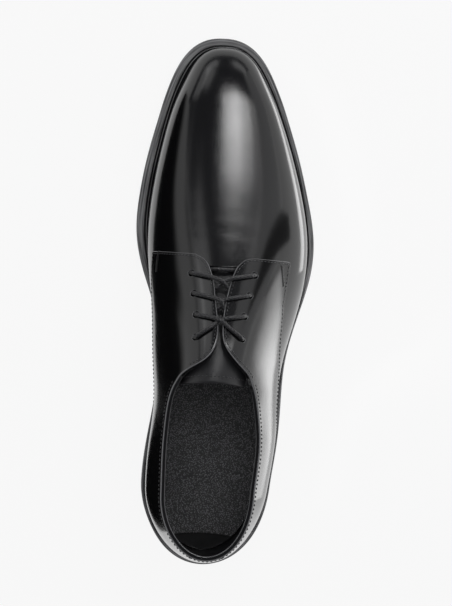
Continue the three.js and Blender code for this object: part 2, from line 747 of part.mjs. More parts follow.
function makeShoe() {
  const shoe = new THREE.Group();
  shoe.add(piece("outsole", makeOutsole(), RUBBER));
  shoe.add(piece("welt", makeWelt(), RUBBER));
  shoe.add(piece("heel", heelLayer(TOP_LIFT_THICKNESS + GAP, 2 * HEEL_HEIGHT), RUBBER));
  shoe.add(piece("top_lift", heelLayer(0, TOP_LIFT_THICKNESS), RUBBER));
  shoe.add(piece("upper", makeUpper(), LEATHER));
  shoe.add(piece("tongue", makeTongue(), LEATHER));
  shoe.add(piece("insole", makeInsole(), LINING));
  shoe.add(piece("lace_bar", makeBar(), CORD));
  for (let i = 0; i + 1 < EYELETS.length; i++) {
    shoe.add(piece("lace_cross_" + (i + 1), makeCrossing(i), CORD));
  }
  const box = new THREE.Box3().setFromObject(shoe);
  shoe.position.set(-(box.min.x + box.max.x) / 2, -(box.min.y + box.max.y) / 2, 0);
  return shoe;
}

const shoe = makeShoe();

export default shoe;
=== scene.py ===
import math
import bpy
import numpy as np
from mathutils import Matrix, Vector


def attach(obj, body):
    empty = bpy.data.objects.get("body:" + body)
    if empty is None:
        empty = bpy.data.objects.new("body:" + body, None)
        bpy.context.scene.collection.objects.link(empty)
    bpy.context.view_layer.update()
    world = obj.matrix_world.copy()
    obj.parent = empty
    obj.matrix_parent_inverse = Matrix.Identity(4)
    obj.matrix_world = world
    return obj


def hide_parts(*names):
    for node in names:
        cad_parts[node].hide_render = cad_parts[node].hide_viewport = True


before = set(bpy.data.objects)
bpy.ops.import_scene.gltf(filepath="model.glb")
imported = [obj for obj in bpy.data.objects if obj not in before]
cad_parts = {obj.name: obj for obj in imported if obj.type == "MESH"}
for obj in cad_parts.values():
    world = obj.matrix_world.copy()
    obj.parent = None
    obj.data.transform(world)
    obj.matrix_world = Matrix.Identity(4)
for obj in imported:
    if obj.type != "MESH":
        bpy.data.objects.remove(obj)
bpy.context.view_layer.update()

# Sizes of the shoe in millimetres, as in its CAD source. y runs from the heel's back to the toe.
LENGTH = 305
SOLE_WIDTH = 104.5
UPPER_WIDTH = 92
TOE_MARGIN = 7
HEEL_MARGIN = 5
HEEL_HEIGHT = 20.5
TOE_SPRING = 10
INSTEP_HEIGHT = 88
OUTSOLE_THICKNESS = 5
WELT_THICKNESS = 3
TOP_LIFT_THICKNESS = 6
WALL = 1.9
OVERLAY = 1
GAP = 0.3
BREAST = 0.235
BREAST_HOLLOW = 4
HEEL_TAPER = 2.2
WELT_SEAT = 6
BEAD_WIDTH = 1
BEAD_HEIGHT = 0.8
BEAD_PLACE = 0.42
INSOLE_THICKNESS = 2.5
TONGUE_THICKNESS = 2.6
TONGUE_DROP = 2.7
TONGUE_BACK = 0.353
TONGUE_FRONT = 0.595
TONGUE_HALF = 0.22
TONGUE_CORNER = 0.95
TONGUE_TAPER = 0.38
TONGUE_HOLLOW = 2.5
TONGUE_FALL = 0.2
LACE_DIAMETER = 2.3
EYELET_DIAMETER = 4
BAR_SETBACK = 0.016
STRAND_SPOTS = (0.86, 0.6, 0.35)
STRAND_BEND = 0.6
DIVE = 0.45
LACE_TUCK = 4.6  # how far in from an eyelet the lace lies flat under the facing
LACE_TURN = 0.9
CROSSING_LIFTS = {-1: 1.1, 1: -1.0}  # of the strand that starts on each side
TOE_CENTRE = 0.859
HEEL_CENTRE = 0.148
TOE_POWER = 2.4
HEEL_POWER = 2
LEAN_POWER = 1.3
QUARTER_SKEW = 0.04
TREAD_BLEND = 0.7
THROAT_END = 0.571
VAMP_BACK = 0.0095  # how far behind the throat's front the vamp ends, share of LENGTH
ORIGIN = np.array([5.0039, 152.5, 0])  # the part frame's origin

RISE = [0, 0.25, 0.6, 0.95]
NAMES = ["along", "centre", "half", "soleCentre", "soleHalf", "lift", "spring",
         "crown", "lean", "foot", "bulge", "side", "shoulder"]
SECTIONS = [
    [0, -0.026, 0.337, -0.019, 0.35, 1, 0, 0.967, 0, 0.955, 1.03, 0.92, 0.82],
    [0.066, -0.027, 0.345, -0.014, 0.344, 0.985, 0, 1.017, -0.004, 0.95, 1.04, 0.81, 0.68],
    [0.148, -0.018, 0.366, -0.014, 0.355, 0.937, 0, 1.05, -0.02, 0.94, 1.065, 0.685, 0.53],
    [0.23, 0.01, 0.383, 0.011, 0.361, 0.878, 0, 1.05, -0.055, 0.92, 1.06, 0.68, 0.52],
    [0.311, 0.035, 0.383, 0.036, 0.351, 0.722, 0, 1.02, -0.092, 0.89, 1.05, 0.755, 0.47],
    [0.393, 0.036, 0.407, 0.053, 0.354, 0.517, 0, 0.977, -0.055, 0.84, 1.06, 0.81, 0.41],
    [0.475, 0.065, 0.452, 0.07, 0.4, 0.293, 0, 0.877, -0.065, 0.88, 1.05, 0.86, 0.43],
    [0.557, 0.075, 0.491, 0.063, 0.473, 0.107, 0, 0.76, -0.06, 0.93, 1.05, 0.9, 0.46],
    [0.623, 0.069, 0.497, 0.048, 0.499, 0.015, 0, 0.672, -0.049, 0.955, 1.05, 0.92, 0.51],
    [0.705, 0.054, 0.464, 0.031, 0.472, 0, -0.06, 0.565, -0.036, 0.96, 1.045, 0.95, 0.57],
    [0.787, 0.037, 0.404, 0.02, 0.419, 0, 0.02, 0.477, -0.023, 0.955, 1.04, 0.97, 0.61],
    [0.859, 0.02, 0.333, 0.01, 0.356, 0, 0.22, 0.403, -0.011, 0.95, 1.04, 0.98, 0.64],
    [0.918, 0.008, 0.27, 0, 0.31, 0, 0.49, 0.344, -0.003, 0.95, 1.04, 0.98, 0.65],
    [0.984, -0.003, 0.25, -0.008, 0.284, 0, 0.9, 0.27, 0, 0.95, 1.04, 0.98, 0.65],
]
TOPLINE = [(-0.06, 0.69), (0.027, 0.68), (0.07, 0.648), (0.134, 0.595), (0.2, 0.568), (0.25, 0.577),
           (0.3, 0.625), (0.33, 0.672), (0.352, 0.725), (0.37, 0.79), (0.4, 0.95)]
THROAT = [(0.34, -0.022, 0.13), (0.35, -0.02, 0.19), (0.359, -0.017, 0.203), (0.37, -0.011, 0.181),
          (0.389, 0, 0.114), (0.408, 0.004, 0.055), (0.427, 0, 0.024), (0.455, 0, 0.016),
          (0.497, 0, 0.033), (0.53, 0.007, 0.052), (0.556, 0.011, 0.08), (0.571, 0.017, 0.112),
          (0.58, 0.02, 0.155)]
QUARTER_SEAM = [(0.581, 0.505, 0.618), (0.5, 0.49, 0.715), (0.42, 0.515, 0.698), (0.35, 0.525, 0.592),
                (0.3, 0.5, 0.565), (0.265, 0.42, 0.47), (0.245, 0.28, 0.3), (0.24, 0.1, 0.1)]
EYELETS = [(0.547, 0.192), (0.51, 0.168), (0.472, 0.145), (0.432, 0.14)]
CROSSINGS = [0.4, 0.36, 0.22]

WELT_TOP = OUTSOLE_THICKNESS + GAP + WELT_THICKNESS
TOE_Y = TOE_CENTRE * LENGTH
HEEL_Y = HEEL_CENTRE * LENGTH
UPPER_TIPS = (LENGTH - TOE_MARGIN, HEEL_MARGIN)
SOLE_TIPS = (LENGTH, 0)
VAMP_END = (THROAT_END - VAMP_BACK) * LENGTH
VAMP_UNDERLAP = 9  # how far the vamp runs on under the quarters
QUARTER_STEP = 1.35  # how deep the quarters' edge goes where it lies on the vamp
EDGE_ROLL = 0.5  # radius of a skived leather edge
FACING_ROLL = 0.35  # how much rounder the facings' free edge is
EYELET_ROLL = 0.35
EYELET_LOOP = 80  # an eyelet's edge has fewer points than this
EDGE_TURNS = np.radians([22.5, 45, 67.5, 90, 90, 112.5, 135, 157.5, 180])  # of a rounded edge's rings
EDGE_CORNER = 4  # how many of those rings come before its flat middle
EDGE_HIGHLIGHTS = (0.2, 1, 0.5, 0, 0, 0.3, 0.8, 0.2, 0)  # painted highlight on those rings, lightest at the edge's two rounded corners
TREAD_GROOVE = 0.35
HEEL_LINES = (3.9, 8.1)  # where the heel's layers meet, over its bottom
BOARD_THICKNESS = 2
SOCK_THICKNESS = 0.7
SOCK_END = 0.05  # how far ahead of the heel's back the sock begins, share of LENGTH
SOCK_ARC = 3.5
SEAM_INSET = 1.4
COLLAR_SEAM_INSET = 2.3
STITCH_PITCH = 2.3
STITCH_LENGTH = 1.75
THREAD_DIAMETER = 0.5
TACK_PITCH = 0.55
CORNER_TACK = 11.5
COLLAR_TACK = 3.5

# Soft flexing marks in the vamp: along, out, reach (half a mark's length), bow, depth and width.
# along and bow are shares of LENGTH, out and reach of UPPER_WIDTH. depth and width are in millimetres.
CREASES = [
    (0.612, -0.07, 0.26, 0.012, 0.022, 2.6),
    (0.640, 0.03, 0.3, 0.02, 0.02, 3.2),
    (0.668, -0.02, 0.22, 0.016, 0.014, 3.4),
]


def spline(xs, ys):
    """Natural cubic spline that runs on straight past its ends."""
    xs, ys = np.asarray(xs, float), np.asarray(ys, float)
    step = np.diff(xs)
    rise = np.diff(ys)
    system = np.eye(len(xs))
    right = np.zeros(len(xs))
    for i in range(1, len(xs) - 1):
        system[i, i - 1:i + 2] = step[i - 1], 2 * (step[i - 1] + step[i]), step[i]
        right[i] = 6 * (rise[i] / step[i] - rise[i - 1] / step[i - 1])
    bend = np.linalg.solve(system, right)

    def value(x):
        x = np.asarray(x, float)
        i = np.searchsorted(xs[1:-1], x, side="left")
        h = step[i]
        held = np.clip(x, xs[0], xs[-1])
        a = (xs[i + 1] - held) / h
        b = 1 - a
        height = a * ys[i] + b * ys[i + 1] + ((a**3 - a) * bend[i] + (b**3 - b) * bend[i + 1]) * h * h / 6
        slope = rise[i] / h + ((1 - 3 * a * a) * bend[i] + (3 * b * b - 1) * bend[i + 1]) * h / 6
        return height + slope * (x - held)

    return value


def column_spline(rows, column):
    """Spline of a table's column over its first one."""
    return spline([row[0] for row in rows], [row[column] for row in rows])


COLUMN = {name: column_spline(SECTIONS, i) for i, name in enumerate(NAMES) if i}
THROAT_MIDDLE = column_spline(THROAT, 1)
THROAT_GAP = column_spline(THROAT, 2)


def at(name, y):
    return COLUMN[name](y / LENGTH)


def sole_rise(y):
    return at("lift", y) * HEEL_HEIGHT + at("spring", y) * TOE_SPRING


def underside(y):
    return np.maximum(0, sole_rise(y))


def foot_height(y):
    """The upper's foot. It turns smoothly where the sole's flat tread ends."""
    return (sole_rise(y) + np.hypot(sole_rise(y), TREAD_BLEND)) / 2 + WELT_TOP + GAP


def crown_height(y):
    return foot_height(y) + at("crown", y) * INSTEP_HEIGHT


def crown_line(y):
    """How far to the right the upper's crown runs."""
    return (at("centre", y) + at("lean", y)) * UPPER_WIDTH


def smooth_step(x, low, high):
    s = np.clip((x - low) / (high - low), 0, 1)
    return s * s * (3 - 2 * s)


def unit(v):
    return v / np.maximum(np.linalg.norm(v, axis=-1, keepdims=True), 1e-12)


def run_along(points, power=1):
    """How far along a line of points each of them is."""
    return np.concatenate([[0], np.cumsum(np.linalg.norm(np.diff(points, axis=0), axis=1)**power)])


def sampled(values, place, spots):
    """Rows of values, which are known at places along a line, read off at spots."""
    return np.stack([np.interp(spots, place, column) for column in values.T], -1)


def bisected(low, high, passes, steps):
    """Halves the gap between low, which passes, and high, which doesn't."""
    for _ in range(steps):
        middle = (low + high) / 2
        passed = passes(middle)
        low, high = np.where(passed, middle, low), np.where(passed, high, middle)
    return low, high


def section_shape(y, t):
    """Width and height shares of the section at t, from 0 at the foot to 1 on the crown."""
    widths = [at(name, y) for name in ("foot", "bulge", "side", "shoulder")]
    top = (6 - 2 * RISE[3]) / 4
    wide = np.stack([2 * widths[0] - widths[1], *widths, 0 * y, -widths[3]])
    high = np.array([2 * RISE[0] - RISE[1], *RISE, top, RISE[3]])
    place = np.minimum(t, 1) * 4
    i = np.minimum(3, np.floor(place)).astype(int)
    f = place - i
    weights = [(1 - f)**3 / 6, (3 * f**3 - 6 * f * f + 4) / 6,
               (-3 * f**3 + 3 * f * f + 3 * f + 1) / 6, f**3 / 6]
    width = sum(w * np.take_along_axis(wide, (i + j)[None], 0)[0] for j, w in enumerate(weights))
    return width, sum(w * high[i + j] for j, w in enumerate(weights))


def upper_point(share, centre, reach, out, side, t, grow):
    """Points of the upper's surface. grow moves the surface out from the vamp's face."""
    share, centre, reach, out, side, t, grow = np.broadcast_arrays(share, centre, reach, out, side, t, grow)
    wide, high = section_shape(centre + share * reach, t)
    y = centre + wide * share * (reach + np.sign(reach) * grow)
    half = at("half", y) * UPPER_WIDTH + grow
    middle = (at("centre", y) + at("lean", y) * high**LEAN_POWER) * UPPER_WIDTH
    foot = foot_height(y)
    rise = (crown_height(y) - foot + grow) * high
    return np.stack([middle + side * wide * out * half, y, foot + rise], -1)


def crown_point(y, out, grow):
    """Points of the upper's surface at y and a distance out from the crown line."""
    y, out, grow = np.broadcast_arrays(np.asarray(y, float), out, grow)
    side = np.where(out < 0, -1.0, 1.0)
    crown = crown_line(y)

    def wider(t):
        return (upper_point(0.0, y, 0.0, 1.0, side, t, grow)[..., 0] - crown) * side > out * side

    _, high = bisected(np.full(y.shape, 0.3), np.ones(y.shape), wider, 40)
    return upper_point(0.0, y, 0.0, 1.0, side, high, grow)


def stations(tips, toe_steps, ys, heel_steps):
    """Arrays share, centre, reach and out of one side's outline, from the toe tip back to the heel tip."""
    toe = np.cos(np.pi / 2 * np.arange(toe_steps) / toe_steps)**(2 / TOE_POWER)
    heel = np.cos(np.pi / 2 * np.arange(heel_steps - 1, -1, -1) / heel_steps)**(2 / HEEL_POWER)
    level = 0 * ys
    share = np.concatenate([toe, level, heel])
    centre = np.concatenate([0 * toe + TOE_Y, ys, 0 * heel + HEEL_Y])
    reach = np.concatenate([0 * toe + tips[0] - TOE_Y, level, 0 * heel + tips[1] - HEEL_Y])
    round_toe = np.maximum(0, 1 - toe**TOE_POWER)**(1 / TOE_POWER)
    round_heel = np.maximum(0, 1 - heel**HEEL_POWER)**(1 / HEEL_POWER)
    return share, centre, reach, np.concatenate([round_toe, 1 + level, round_heel])


def both_sides(list_of_stations):
    """The outline's whole ring: the outer side from toe to heel, then the inner side back."""
    side = np.concatenate([np.ones(len(list_of_stations[0])), -np.ones(len(list_of_stations[0]) - 2)])
    return [np.concatenate([a, a[-2:0:-1]]) for a in list_of_stations] + [side]


def steps_between(start, end, pace):
    """Places from start to end at about the pace that pace(place) gives."""
    places = [start]
    direction = math.copysign(1, end - start)
    while (end - places[-1]) * direction > 0:
        places.append(places[-1] + direction * pace(places[-1]))
    places = np.array(places)
    return start + (places - start) * (end - start) / (places[-1] - start)


def ring_quads(columns, rows):
    """Quads of a grid whose columns close on themselves. Points are numbered column by column."""
    i, j = np.meshgrid(np.arange(columns), np.arange(rows - 1), indexing="ij")
    a = i * rows + j
    b = (i + 1) % columns * rows + j
    return np.stack([a, b, b + 1, a + 1], -1).reshape(-1, 4)


def grid_quads(columns, rows):
    return ring_quads(columns, rows)[:(columns - 1) * (rows - 1)]


def as_faces(quads):
    return [tuple(quad) for quad in quads.tolist()]


def merged(points, quads):
    """Joins equal points and drops what collapses."""
    keys = np.round(points * 1e4).astype(np.int64)
    _, first, back = np.unique(keys, axis=0, return_index=True, return_inverse=True)
    loops = [tuple(v for i, v in enumerate(quad) if v != quad[i - 1])
             for quad in back.reshape(-1)[quads].tolist()]
    return points[first], [loop for loop in loops if len(loop) > 2]


def triangles_of(faces):
    return np.array([(f[0], f[i], f[i + 1]) for f in faces for i in range(1, len(f) - 1)])


def normals_of(points, faces):
    tri = triangles_of(faces)
    a, b, c = points[tri[:, 0]], points[tri[:, 1]], points[tri[:, 2]]
    cross = np.cross(b - a, c - a)
    total = np.zeros_like(points)
    for corner in range(3):
        np.add.at(total, tri[:, corner], cross)
    return unit(total)


class Sheet:
    """A surface: points, their normals and faces that turn anticlockwise seen from outside."""

    def __init__(self, points, faces, normals=None):
        self.points = points
        self.faces = faces
        self.normals = normals_of(points, faces) if normals is None else normals

    def trimmed(self, field):
        """The part where field(points, normals) is above zero, cut exactly on its edge."""
        inside = (field(self.points, self.normals) > 0).tolist()
        crossing = {}
        kept = []
        for face in self.faces:
            marks = [inside[v] for v in face]
            if all(marks):
                kept.append(face)
            elif any(marks):
                loop = []
                for k, a in enumerate(face):
                    b = face[(k + 1) % len(face)]
                    if inside[a]:
                        loop.append(a)
                    if inside[a] != inside[b]:
                        key = (a, b) if inside[a] else (b, a)
                        loop.append(crossing.setdefault(key, len(self.points) + len(crossing)))
                kept.append(tuple(loop))
        points, normals = self.points, self.normals
        if crossing:
            ends = np.array(list(crossing))
            start, along = points[ends[:, 0]], points[ends[:, 1]] - points[ends[:, 0]]
            turn_start, turn = normals[ends[:, 0]], normals[ends[:, 1]] - normals[ends[:, 0]]

            def between(share):
                share = share[:, None]
                return start + along * share, unit(turn_start + turn * share)

            low, _ = bisected(np.zeros(len(ends)), np.ones(len(ends)), lambda s: field(*between(s)) > 0, 14)
            cut_points, cut_normals = between(low)
            points = np.concatenate([points, cut_points])
            normals = np.concatenate([normals, cut_normals])
        used, back = np.unique([v for face in kept for v in face], return_inverse=True)
        renumber = dict(zip(used.tolist(), range(len(used))))
        faces = [tuple(renumber[v] for v in face) for face in kept]
        return Sheet(points[used], faces, normals[used])

    def loops(self):
        """Boundary loops as lists of points' numbers, with the surface on their left."""
        edges = {(a, face[(k + 1) % len(face)]) for face in self.faces for k, a in enumerate(face)}
        after = {a: b for a, b in edges if (b, a) not in edges}
        found = []
        while after:
            start, v = after.popitem()
            loop = [start]
            while v != start and v in after:
                loop.append(v)
                v = after.pop(v)
            found.append(loop)
        return found

    def outward(self, loop):
        """Directions in the surface, square to the loop and away from the sheet."""
        reach = 0.8
        closed = self.points[loop + loop[:1]]
        place = run_along(closed)
        ahead, behind = (sampled(closed, place, (place[:-1] + way) % place[-1]) for way in (reach, -reach))
        return unit(np.cross(ahead - behind, self.normals[loop]))

    def rolled(self, loop, depth, radius):
        """Adds a rounded edge of a depth along a loop, with its lower corner rounded in as well."""
        depth = np.broadcast_to(depth, len(loop))
        radius = np.minimum(np.broadcast_to(radius, len(loop)), depth / 2)
        out, p, n = self.outward(loop), self.points[loop], self.normals[loop]
        rings, ring_normals = [], []
        for k, turn in enumerate(EDGE_TURNS):
            down = radius * (1 - math.cos(turn)) + (depth - 2 * radius if k >= EDGE_CORNER else 0)
            rings.append(p + out * (radius * math.sin(turn))[:, None] - n * down[:, None])
            ring_normals.append(n * math.cos(turn) + out * math.sin(turn))
        first = len(self.points)
        size = len(loop)
        numbers = [list(loop)] + [list(range(start, start + size))
                                  for start in range(first, first + size * len(rings), size)]
        faces = list(self.faces)
        for upper, lower in zip(numbers, numbers[1:]):
            for i in range(size):
                j = (i + 1) % size
                faces.append((upper[j], upper[i], lower[i], lower[j]))
        return Sheet(np.concatenate([self.points, *rings]), faces,
                     np.concatenate([self.normals, *ring_normals]))

    def turned(self):
        return Sheet(self.points, [face[::-1] for face in self.faces], -self.normals)

    def facing_up(self):
        return self if self.normals[:, 2].mean() > 0 else self.turned()

    def lowered(self, depth):
        return Sheet(self.points - self.normals * depth, self.faces, self.normals)

    def slab(self, depth, radius):
        """The sheet, a rounded edge round it and the same sheet as its underside."""
        return self.rolled(self.loops()[0], depth, radius).joined(self.lowered(depth).turned())

    def joined(self, *others):
        points, normals, faces = [self.points], [self.normals], list(self.faces)
        count = len(self.points)
        for other in others:
            faces += [tuple(v + count for v in face) for face in other.faces]
            points.append(other.points)
            normals.append(other.normals)
            count += len(other.points)
        return Sheet(np.concatenate(points), faces, np.concatenate(normals))


def crease_depth(points):
    """How far the flexing marks move the vamp's face."""
    y = points[:, 1] / LENGTH
    across = (points[:, 0] - crown_line(points[:, 1])) / UPPER_WIDTH
    total = 0
    for along, out, reach, bow, depth, width in CREASES:
        off = (across - out) / reach
        away = (y - along + bow * off**2) * LENGTH / width
        window = np.exp(-off**4 * 1.5)
        total = total + depth * window * (0.55 * np.exp(-(away - 1.8)**2) - np.exp(-away**2))
    return total


def last_sheet(grow, fine):
    """The whole surface of the last, grown by a distance. fine is the step in millimetres."""
    ys = steps_between(TOE_Y, HEEL_Y, lambda y: fine * (0.6 if 125 < y < 175 else 1))
    share, centre, reach, out, side = both_sides(stations(UPPER_TIPS, round(44 / fine), ys, round(48 / fine)))
    ts = steps_between(0, 1, lambda t: fine / 108 * (0.75 if 0.66 < t < 0.96 else 1.1))
    columns = [a[:, None] for a in (share, centre, reach, out, side)]
    grid = upper_point(*columns, ts[None], grow)
    points, faces = merged(grid.reshape(-1, 3), ring_quads(len(share), len(ts)))
    made = Sheet(points, [face[::-1] for face in faces])
    if grow >= 0:
        made.points = made.points + made.normals * crease_depth(made.points)[:, None]
        made.normals = normals_of(made.points, made.faces)
    return made


def polygon_distance(x, y, outline):
    """Signed distance to a closed outline in a plane, positive inside."""
    p = np.stack([x, y], -1)
    nearest = np.full(len(p), 1e9)
    inside = np.zeros(len(p), bool)
    for start, end in zip(outline, np.roll(outline, -1, 0)):
        run = end - start
        s = np.clip(((p - start) @ run) / max(run @ run, 1e-12), 0, 1)
        nearest = np.minimum(nearest, np.linalg.norm(p - start - s[:, None] * run, axis=1))
        crosses = (start[1] > p[:, 1]) != (end[1] > p[:, 1])
        with np.errstate(divide="ignore", invalid="ignore"):
            where = start[0] + (p[:, 1] - start[1]) * run[0] / run[1]
        inside ^= crosses & (p[:, 0] < where)
    return np.where(inside, nearest, -nearest)


def smooth_least(a, b, radius):
    h = np.clip(0.5 + 0.5 * (b - a) / radius, 0, 1)
    return b + (a - b) * h - radius * h * (1 - h)


def curve_through(points, count):
    """Even points on a smooth curve through the given ones."""
    points = np.asarray(points, float)
    place = run_along(points, 0.7)
    spots = np.linspace(0, place[-1], count * 6)
    dense = np.stack([spline(place, column)(spots) for column in points.T], -1)
    run = run_along(dense)
    return sampled(dense, run, np.linspace(0, run[-1], count))


def throat_outline():
    right, left = (curve_through([((c + side * g) * UPPER_WIDTH, y * LENGTH) for y, c, g in THROAT], 60)
                   for side in (1, -1))
    return np.concatenate([right, left[::-1]])


def quarter_outline(column):
    """One side's quarter seen from the side, in slanted y and in z."""
    high = 2 * INSTEP_HEIGHT
    corner = (QUARTER_SEAM[0][0] * LENGTH, QUARTER_SEAM[0][column] * INSTEP_HEIGHT)
    seam = curve_through([(row[0] * LENGTH, row[column] * INSTEP_HEIGHT) for row in QUARTER_SEAM[1:]], 60)
    ends = [(seam[-1][0], -high), (-high, -high), (-high, high), (corner[0], high), corner]
    return np.concatenate([seam, ends])


THROAT_OUTLINE = throat_outline()
INNER_QUARTER = quarter_outline(1)
OUTER_QUARTER = quarter_outline(2)
SEAT = float(foot_height(0))
TOPLINE_CURVE = curve_through([(y * LENGTH, SEAT + z * INSTEP_HEIGHT) for y, z in TOPLINE], 90)


def top_field(points):
    """Distance below the topline."""
    y = points[:, 1]
    line = np.interp(y, TOPLINE_CURVE[:, 0], TOPLINE_CURVE[:, 1])
    slope = (np.interp(y + 1, TOPLINE_CURVE[:, 0], TOPLINE_CURVE[:, 1]) - line)
    ahead = smooth_step(y, TOPLINE_CURVE[-1, 0] - 2, TOPLINE_CURVE[-1, 0])
    return (line - points[:, 2]) / np.sqrt(1 + slope**2) + ahead * 100


def throat_field(points):
    return -polygon_distance(points[:, 0], points[:, 1], THROAT_OUTLINE)


def quarter_side_field(points):
    slanted = points[:, 1] + QUARTER_SKEW * points[:, 0]
    distance = np.empty(len(points))
    for outline, mine in ((INNER_QUARTER, points[:, 0] < 0), (OUTER_QUARTER, points[:, 0] >= 0)):
        distance[mine] = polygon_distance(slanted[mine], points[mine, 2], outline)
    return distance


def eyelet_centres():
    places = [(along * LENGTH, side * out * UPPER_WIDTH) for along, out in EYELETS for side in (-1, 1)]
    return crown_point(np.array([y for y, _ in places]), np.array([x for _, x in places]), OVERLAY)


EYELET_CENTRES = eyelet_centres()


def eyelet_field(points):
    away = np.linalg.norm(points[:, None] - EYELET_CENTRES[None], axis=2)
    return np.min(away, axis=1) - EYELET_DIAMETER / 2


def collar_field(points):
    """Distance from the collar's and the throat's edge, round the corner between them."""
    return smooth_least(top_field(points), throat_field(points), 3)


def quarter_field(points, inset):
    """Distance in from the quarters' outer edges."""
    return smooth_least(quarter_side_field(points), collar_field(points), 2.5) - inset


def near_facing(points):
    """1 where the quarter's edge stands free, 0 where it lies on the vamp."""
    free = collar_field(points) < quarter_side_field(points)
    return free * (1 - smooth_step(points[:, 1], (THROAT_END - 0.012) * LENGTH, THROAT_END * LENGTH))


def make_quarters(last):
    """The quarters, and how much painted highlight each of their points gets along the rounded edges."""
    panel = last.trimmed(lambda p, n: np.minimum(quarter_field(p, EDGE_ROLL), eyelet_field(p) - EYELET_ROLL))
    edge = [np.zeros(len(panel.points))]
    for loop in panel.loops():
        # each rounded edge's rings get a painted highlight, lightest on its two corners
        edge.append(np.repeat(EDGE_HIGHLIGHTS, len(loop)))
        if len(loop) < EYELET_LOOP:
            panel = panel.rolled(loop, OVERLAY + WALL, EYELET_ROLL)
        else:
            free = near_facing(panel.points[loop])
            depth = QUARTER_STEP + free * (OVERLAY + WALL - QUARTER_STEP)
            panel = panel.rolled(loop, depth, EDGE_ROLL + FACING_ROLL * free)
    return panel, np.concatenate(edge)


def make_vamp(last):
    def field(p, n):
        cover = VAMP_UNDERLAP - quarter_side_field(p)
        beside = np.abs(p[:, 0] - THROAT_MIDDLE(p[:, 1] / LENGTH) * UPPER_WIDTH)
        beside = beside - THROAT_GAP(np.clip(p[:, 1] / LENGTH, 0.5, 0.58)) * UPPER_WIDTH - 5
        in_throat = np.maximum(p[:, 1] - VAMP_END, beside)
        return np.minimum(cover, np.where(p[:, 2] > 50, in_throat, VAMP_UNDERLAP))
    panel = last.trimmed(field)
    for loop in panel.loops():
        if panel.points[loop][:, 2].max() > 60:
            panel = panel.rolled(loop, WALL, 0.5)
    return panel


def make_lining():
    def field(p, n):
        face = p + n * (OVERLAY + WALL)
        behind = np.minimum(collar_field(face) - EDGE_ROLL - 0.3, eyelet_field(face) - 0.2)
        return np.where(p[:, 1] > VAMP_END, np.maximum(behind, 0.5), behind)
    return last_sheet(-WALL, 2.0).trimmed(field).turned()


def paths_on(sheet, field, wanted):
    """Open runs of the line where the field is zero, as points with normals, where wanted says so."""
    level = sheet.trimmed(field)
    found = []
    for loop in level.loops():
        p, n = level.points[loop], level.normals[loop]
        marks = (np.abs(field(p, n)) < 0.05) & wanted(p)
        if marks.all():
            found.append((np.concatenate([p, p[:1]]), np.concatenate([n, n[:1]])))
            continue
        start = int(np.argmin(marks))
        p, n, marks = np.roll(p, -start, 0), np.roll(n, -start, 0), np.roll(marks, -start)
        run = []
        for k in range(len(p) + 1):
            if k < len(p) and marks[k]:
                run.append(k)
            elif run:
                if len(run) > 6:
                    found.append((p[run], n[run]))
                run = []
    return found


def evenly(points, normals, pitch):
    """Points, tangents and normals at an even pitch along a run."""
    place = run_along(points)
    count = max(2, int(place[-1] // pitch))
    spots = (np.arange(count) + 0.5) * place[-1] / count
    tangent = unit(sampled(points, place, spots + 0.6) - sampled(points, place, spots - 0.6))
    normal = unit(sampled(normals, place, spots))
    normal = unit(normal - tangent * np.sum(normal * tangent, 1, keepdims=True))
    return sampled(points, place, spots), tangent, normal


def thread_shape(length, thickness):
    """One stitch along x, arched in z, as points and faces."""
    rings, sides = 5, 6
    points = []
    for i in range(rings):
        s = -1 + 2 * i / (rings - 1)
        thick = thickness / 2 * math.sqrt(max(0.12, 1 - abs(s)**3))
        rise = thickness * (0.32 - 0.75 * s * s)
        for k in range(sides):
            turn = 2 * math.pi * k / sides
            points.append((s * length / 2, thick * math.cos(turn), rise + thick * math.sin(turn)))
    faces = [(i + k, i + sides + k, i + sides + (k + 1) % sides, i + (k + 1) % sides)
             for i in range(0, (rings - 1) * sides, sides) for k in range(sides)]
    faces += [tuple(range(sides)), tuple(range((rings - 1) * sides, rings * sides))[::-1]]
    return np.array(points), faces


def stitches(rows, length, thickness, slant=0.12):
    """One sheet of stitches from rows of centres, tangents and normals."""
    shape, shape_faces = thread_shape(length, thickness)
    points, faces = [], []
    for centres, tangents, normals in rows:
        across = np.cross(normals, tangents)
        along = unit(tangents + across * slant)
        across = np.cross(normals, along)
        for c, t, a, n in zip(centres, along, across, normals):
            first = len(points) * len(shape)
            points.append(c + shape[:, :1] * t + shape[:, 1:2] * a + shape[:, 2:] * n)
            faces += [tuple(v + first for v in face) for face in shape_faces]
    return Sheet(np.concatenate(points), faces)


def bar_tack(centre, along, normal, length):
    """A short dense row of cross stitches."""
    count = round(length / TACK_PITCH)
    spots = (np.arange(count) / (count - 1) - 0.5) * length
    normals = np.repeat(normal[None], count, 0)
    across = np.repeat(unit(np.cross(normal, along))[None], count, 0)
    return centre + spots[:, None] * along, across, normals


def surface_spot(sheet, x, y, z=None):
    """The sheet's point nearest to a place, with its normal. Without z it is the one seen from above."""
    if z is None:
        near = np.hypot(sheet.points[:, 0] - x, sheet.points[:, 1] - y)
        near = near + np.where(sheet.normals[:, 2] > 0, 0, 1e3)
    else:
        near = np.linalg.norm(sheet.points - np.array([x, y, z]), axis=1)
    k = int(np.argmin(near))
    return sheet.points[k], sheet.normals[k]


def sole_ring(listed, inset, height):
    """A ring on the outsole's outline, moved in by inset and up by height."""
    share, centre, reach, out, side = listed
    y = centre + share * (reach - np.sign(reach) * inset)
    half = at("soleHalf", y) * SOLE_WIDTH - inset
    return np.stack([at("soleCentre", y) * SOLE_WIDTH + side * out * half, y, underside(y) + height], -1)


def foot_ring(listed, out, height):
    """A ring on the upper's foot line, moved out and set at a height over the outsole's underside."""
    points = upper_point(*listed, 0.0, out)
    points[:, 2] = underside(points[:, 1]) + height
    return points


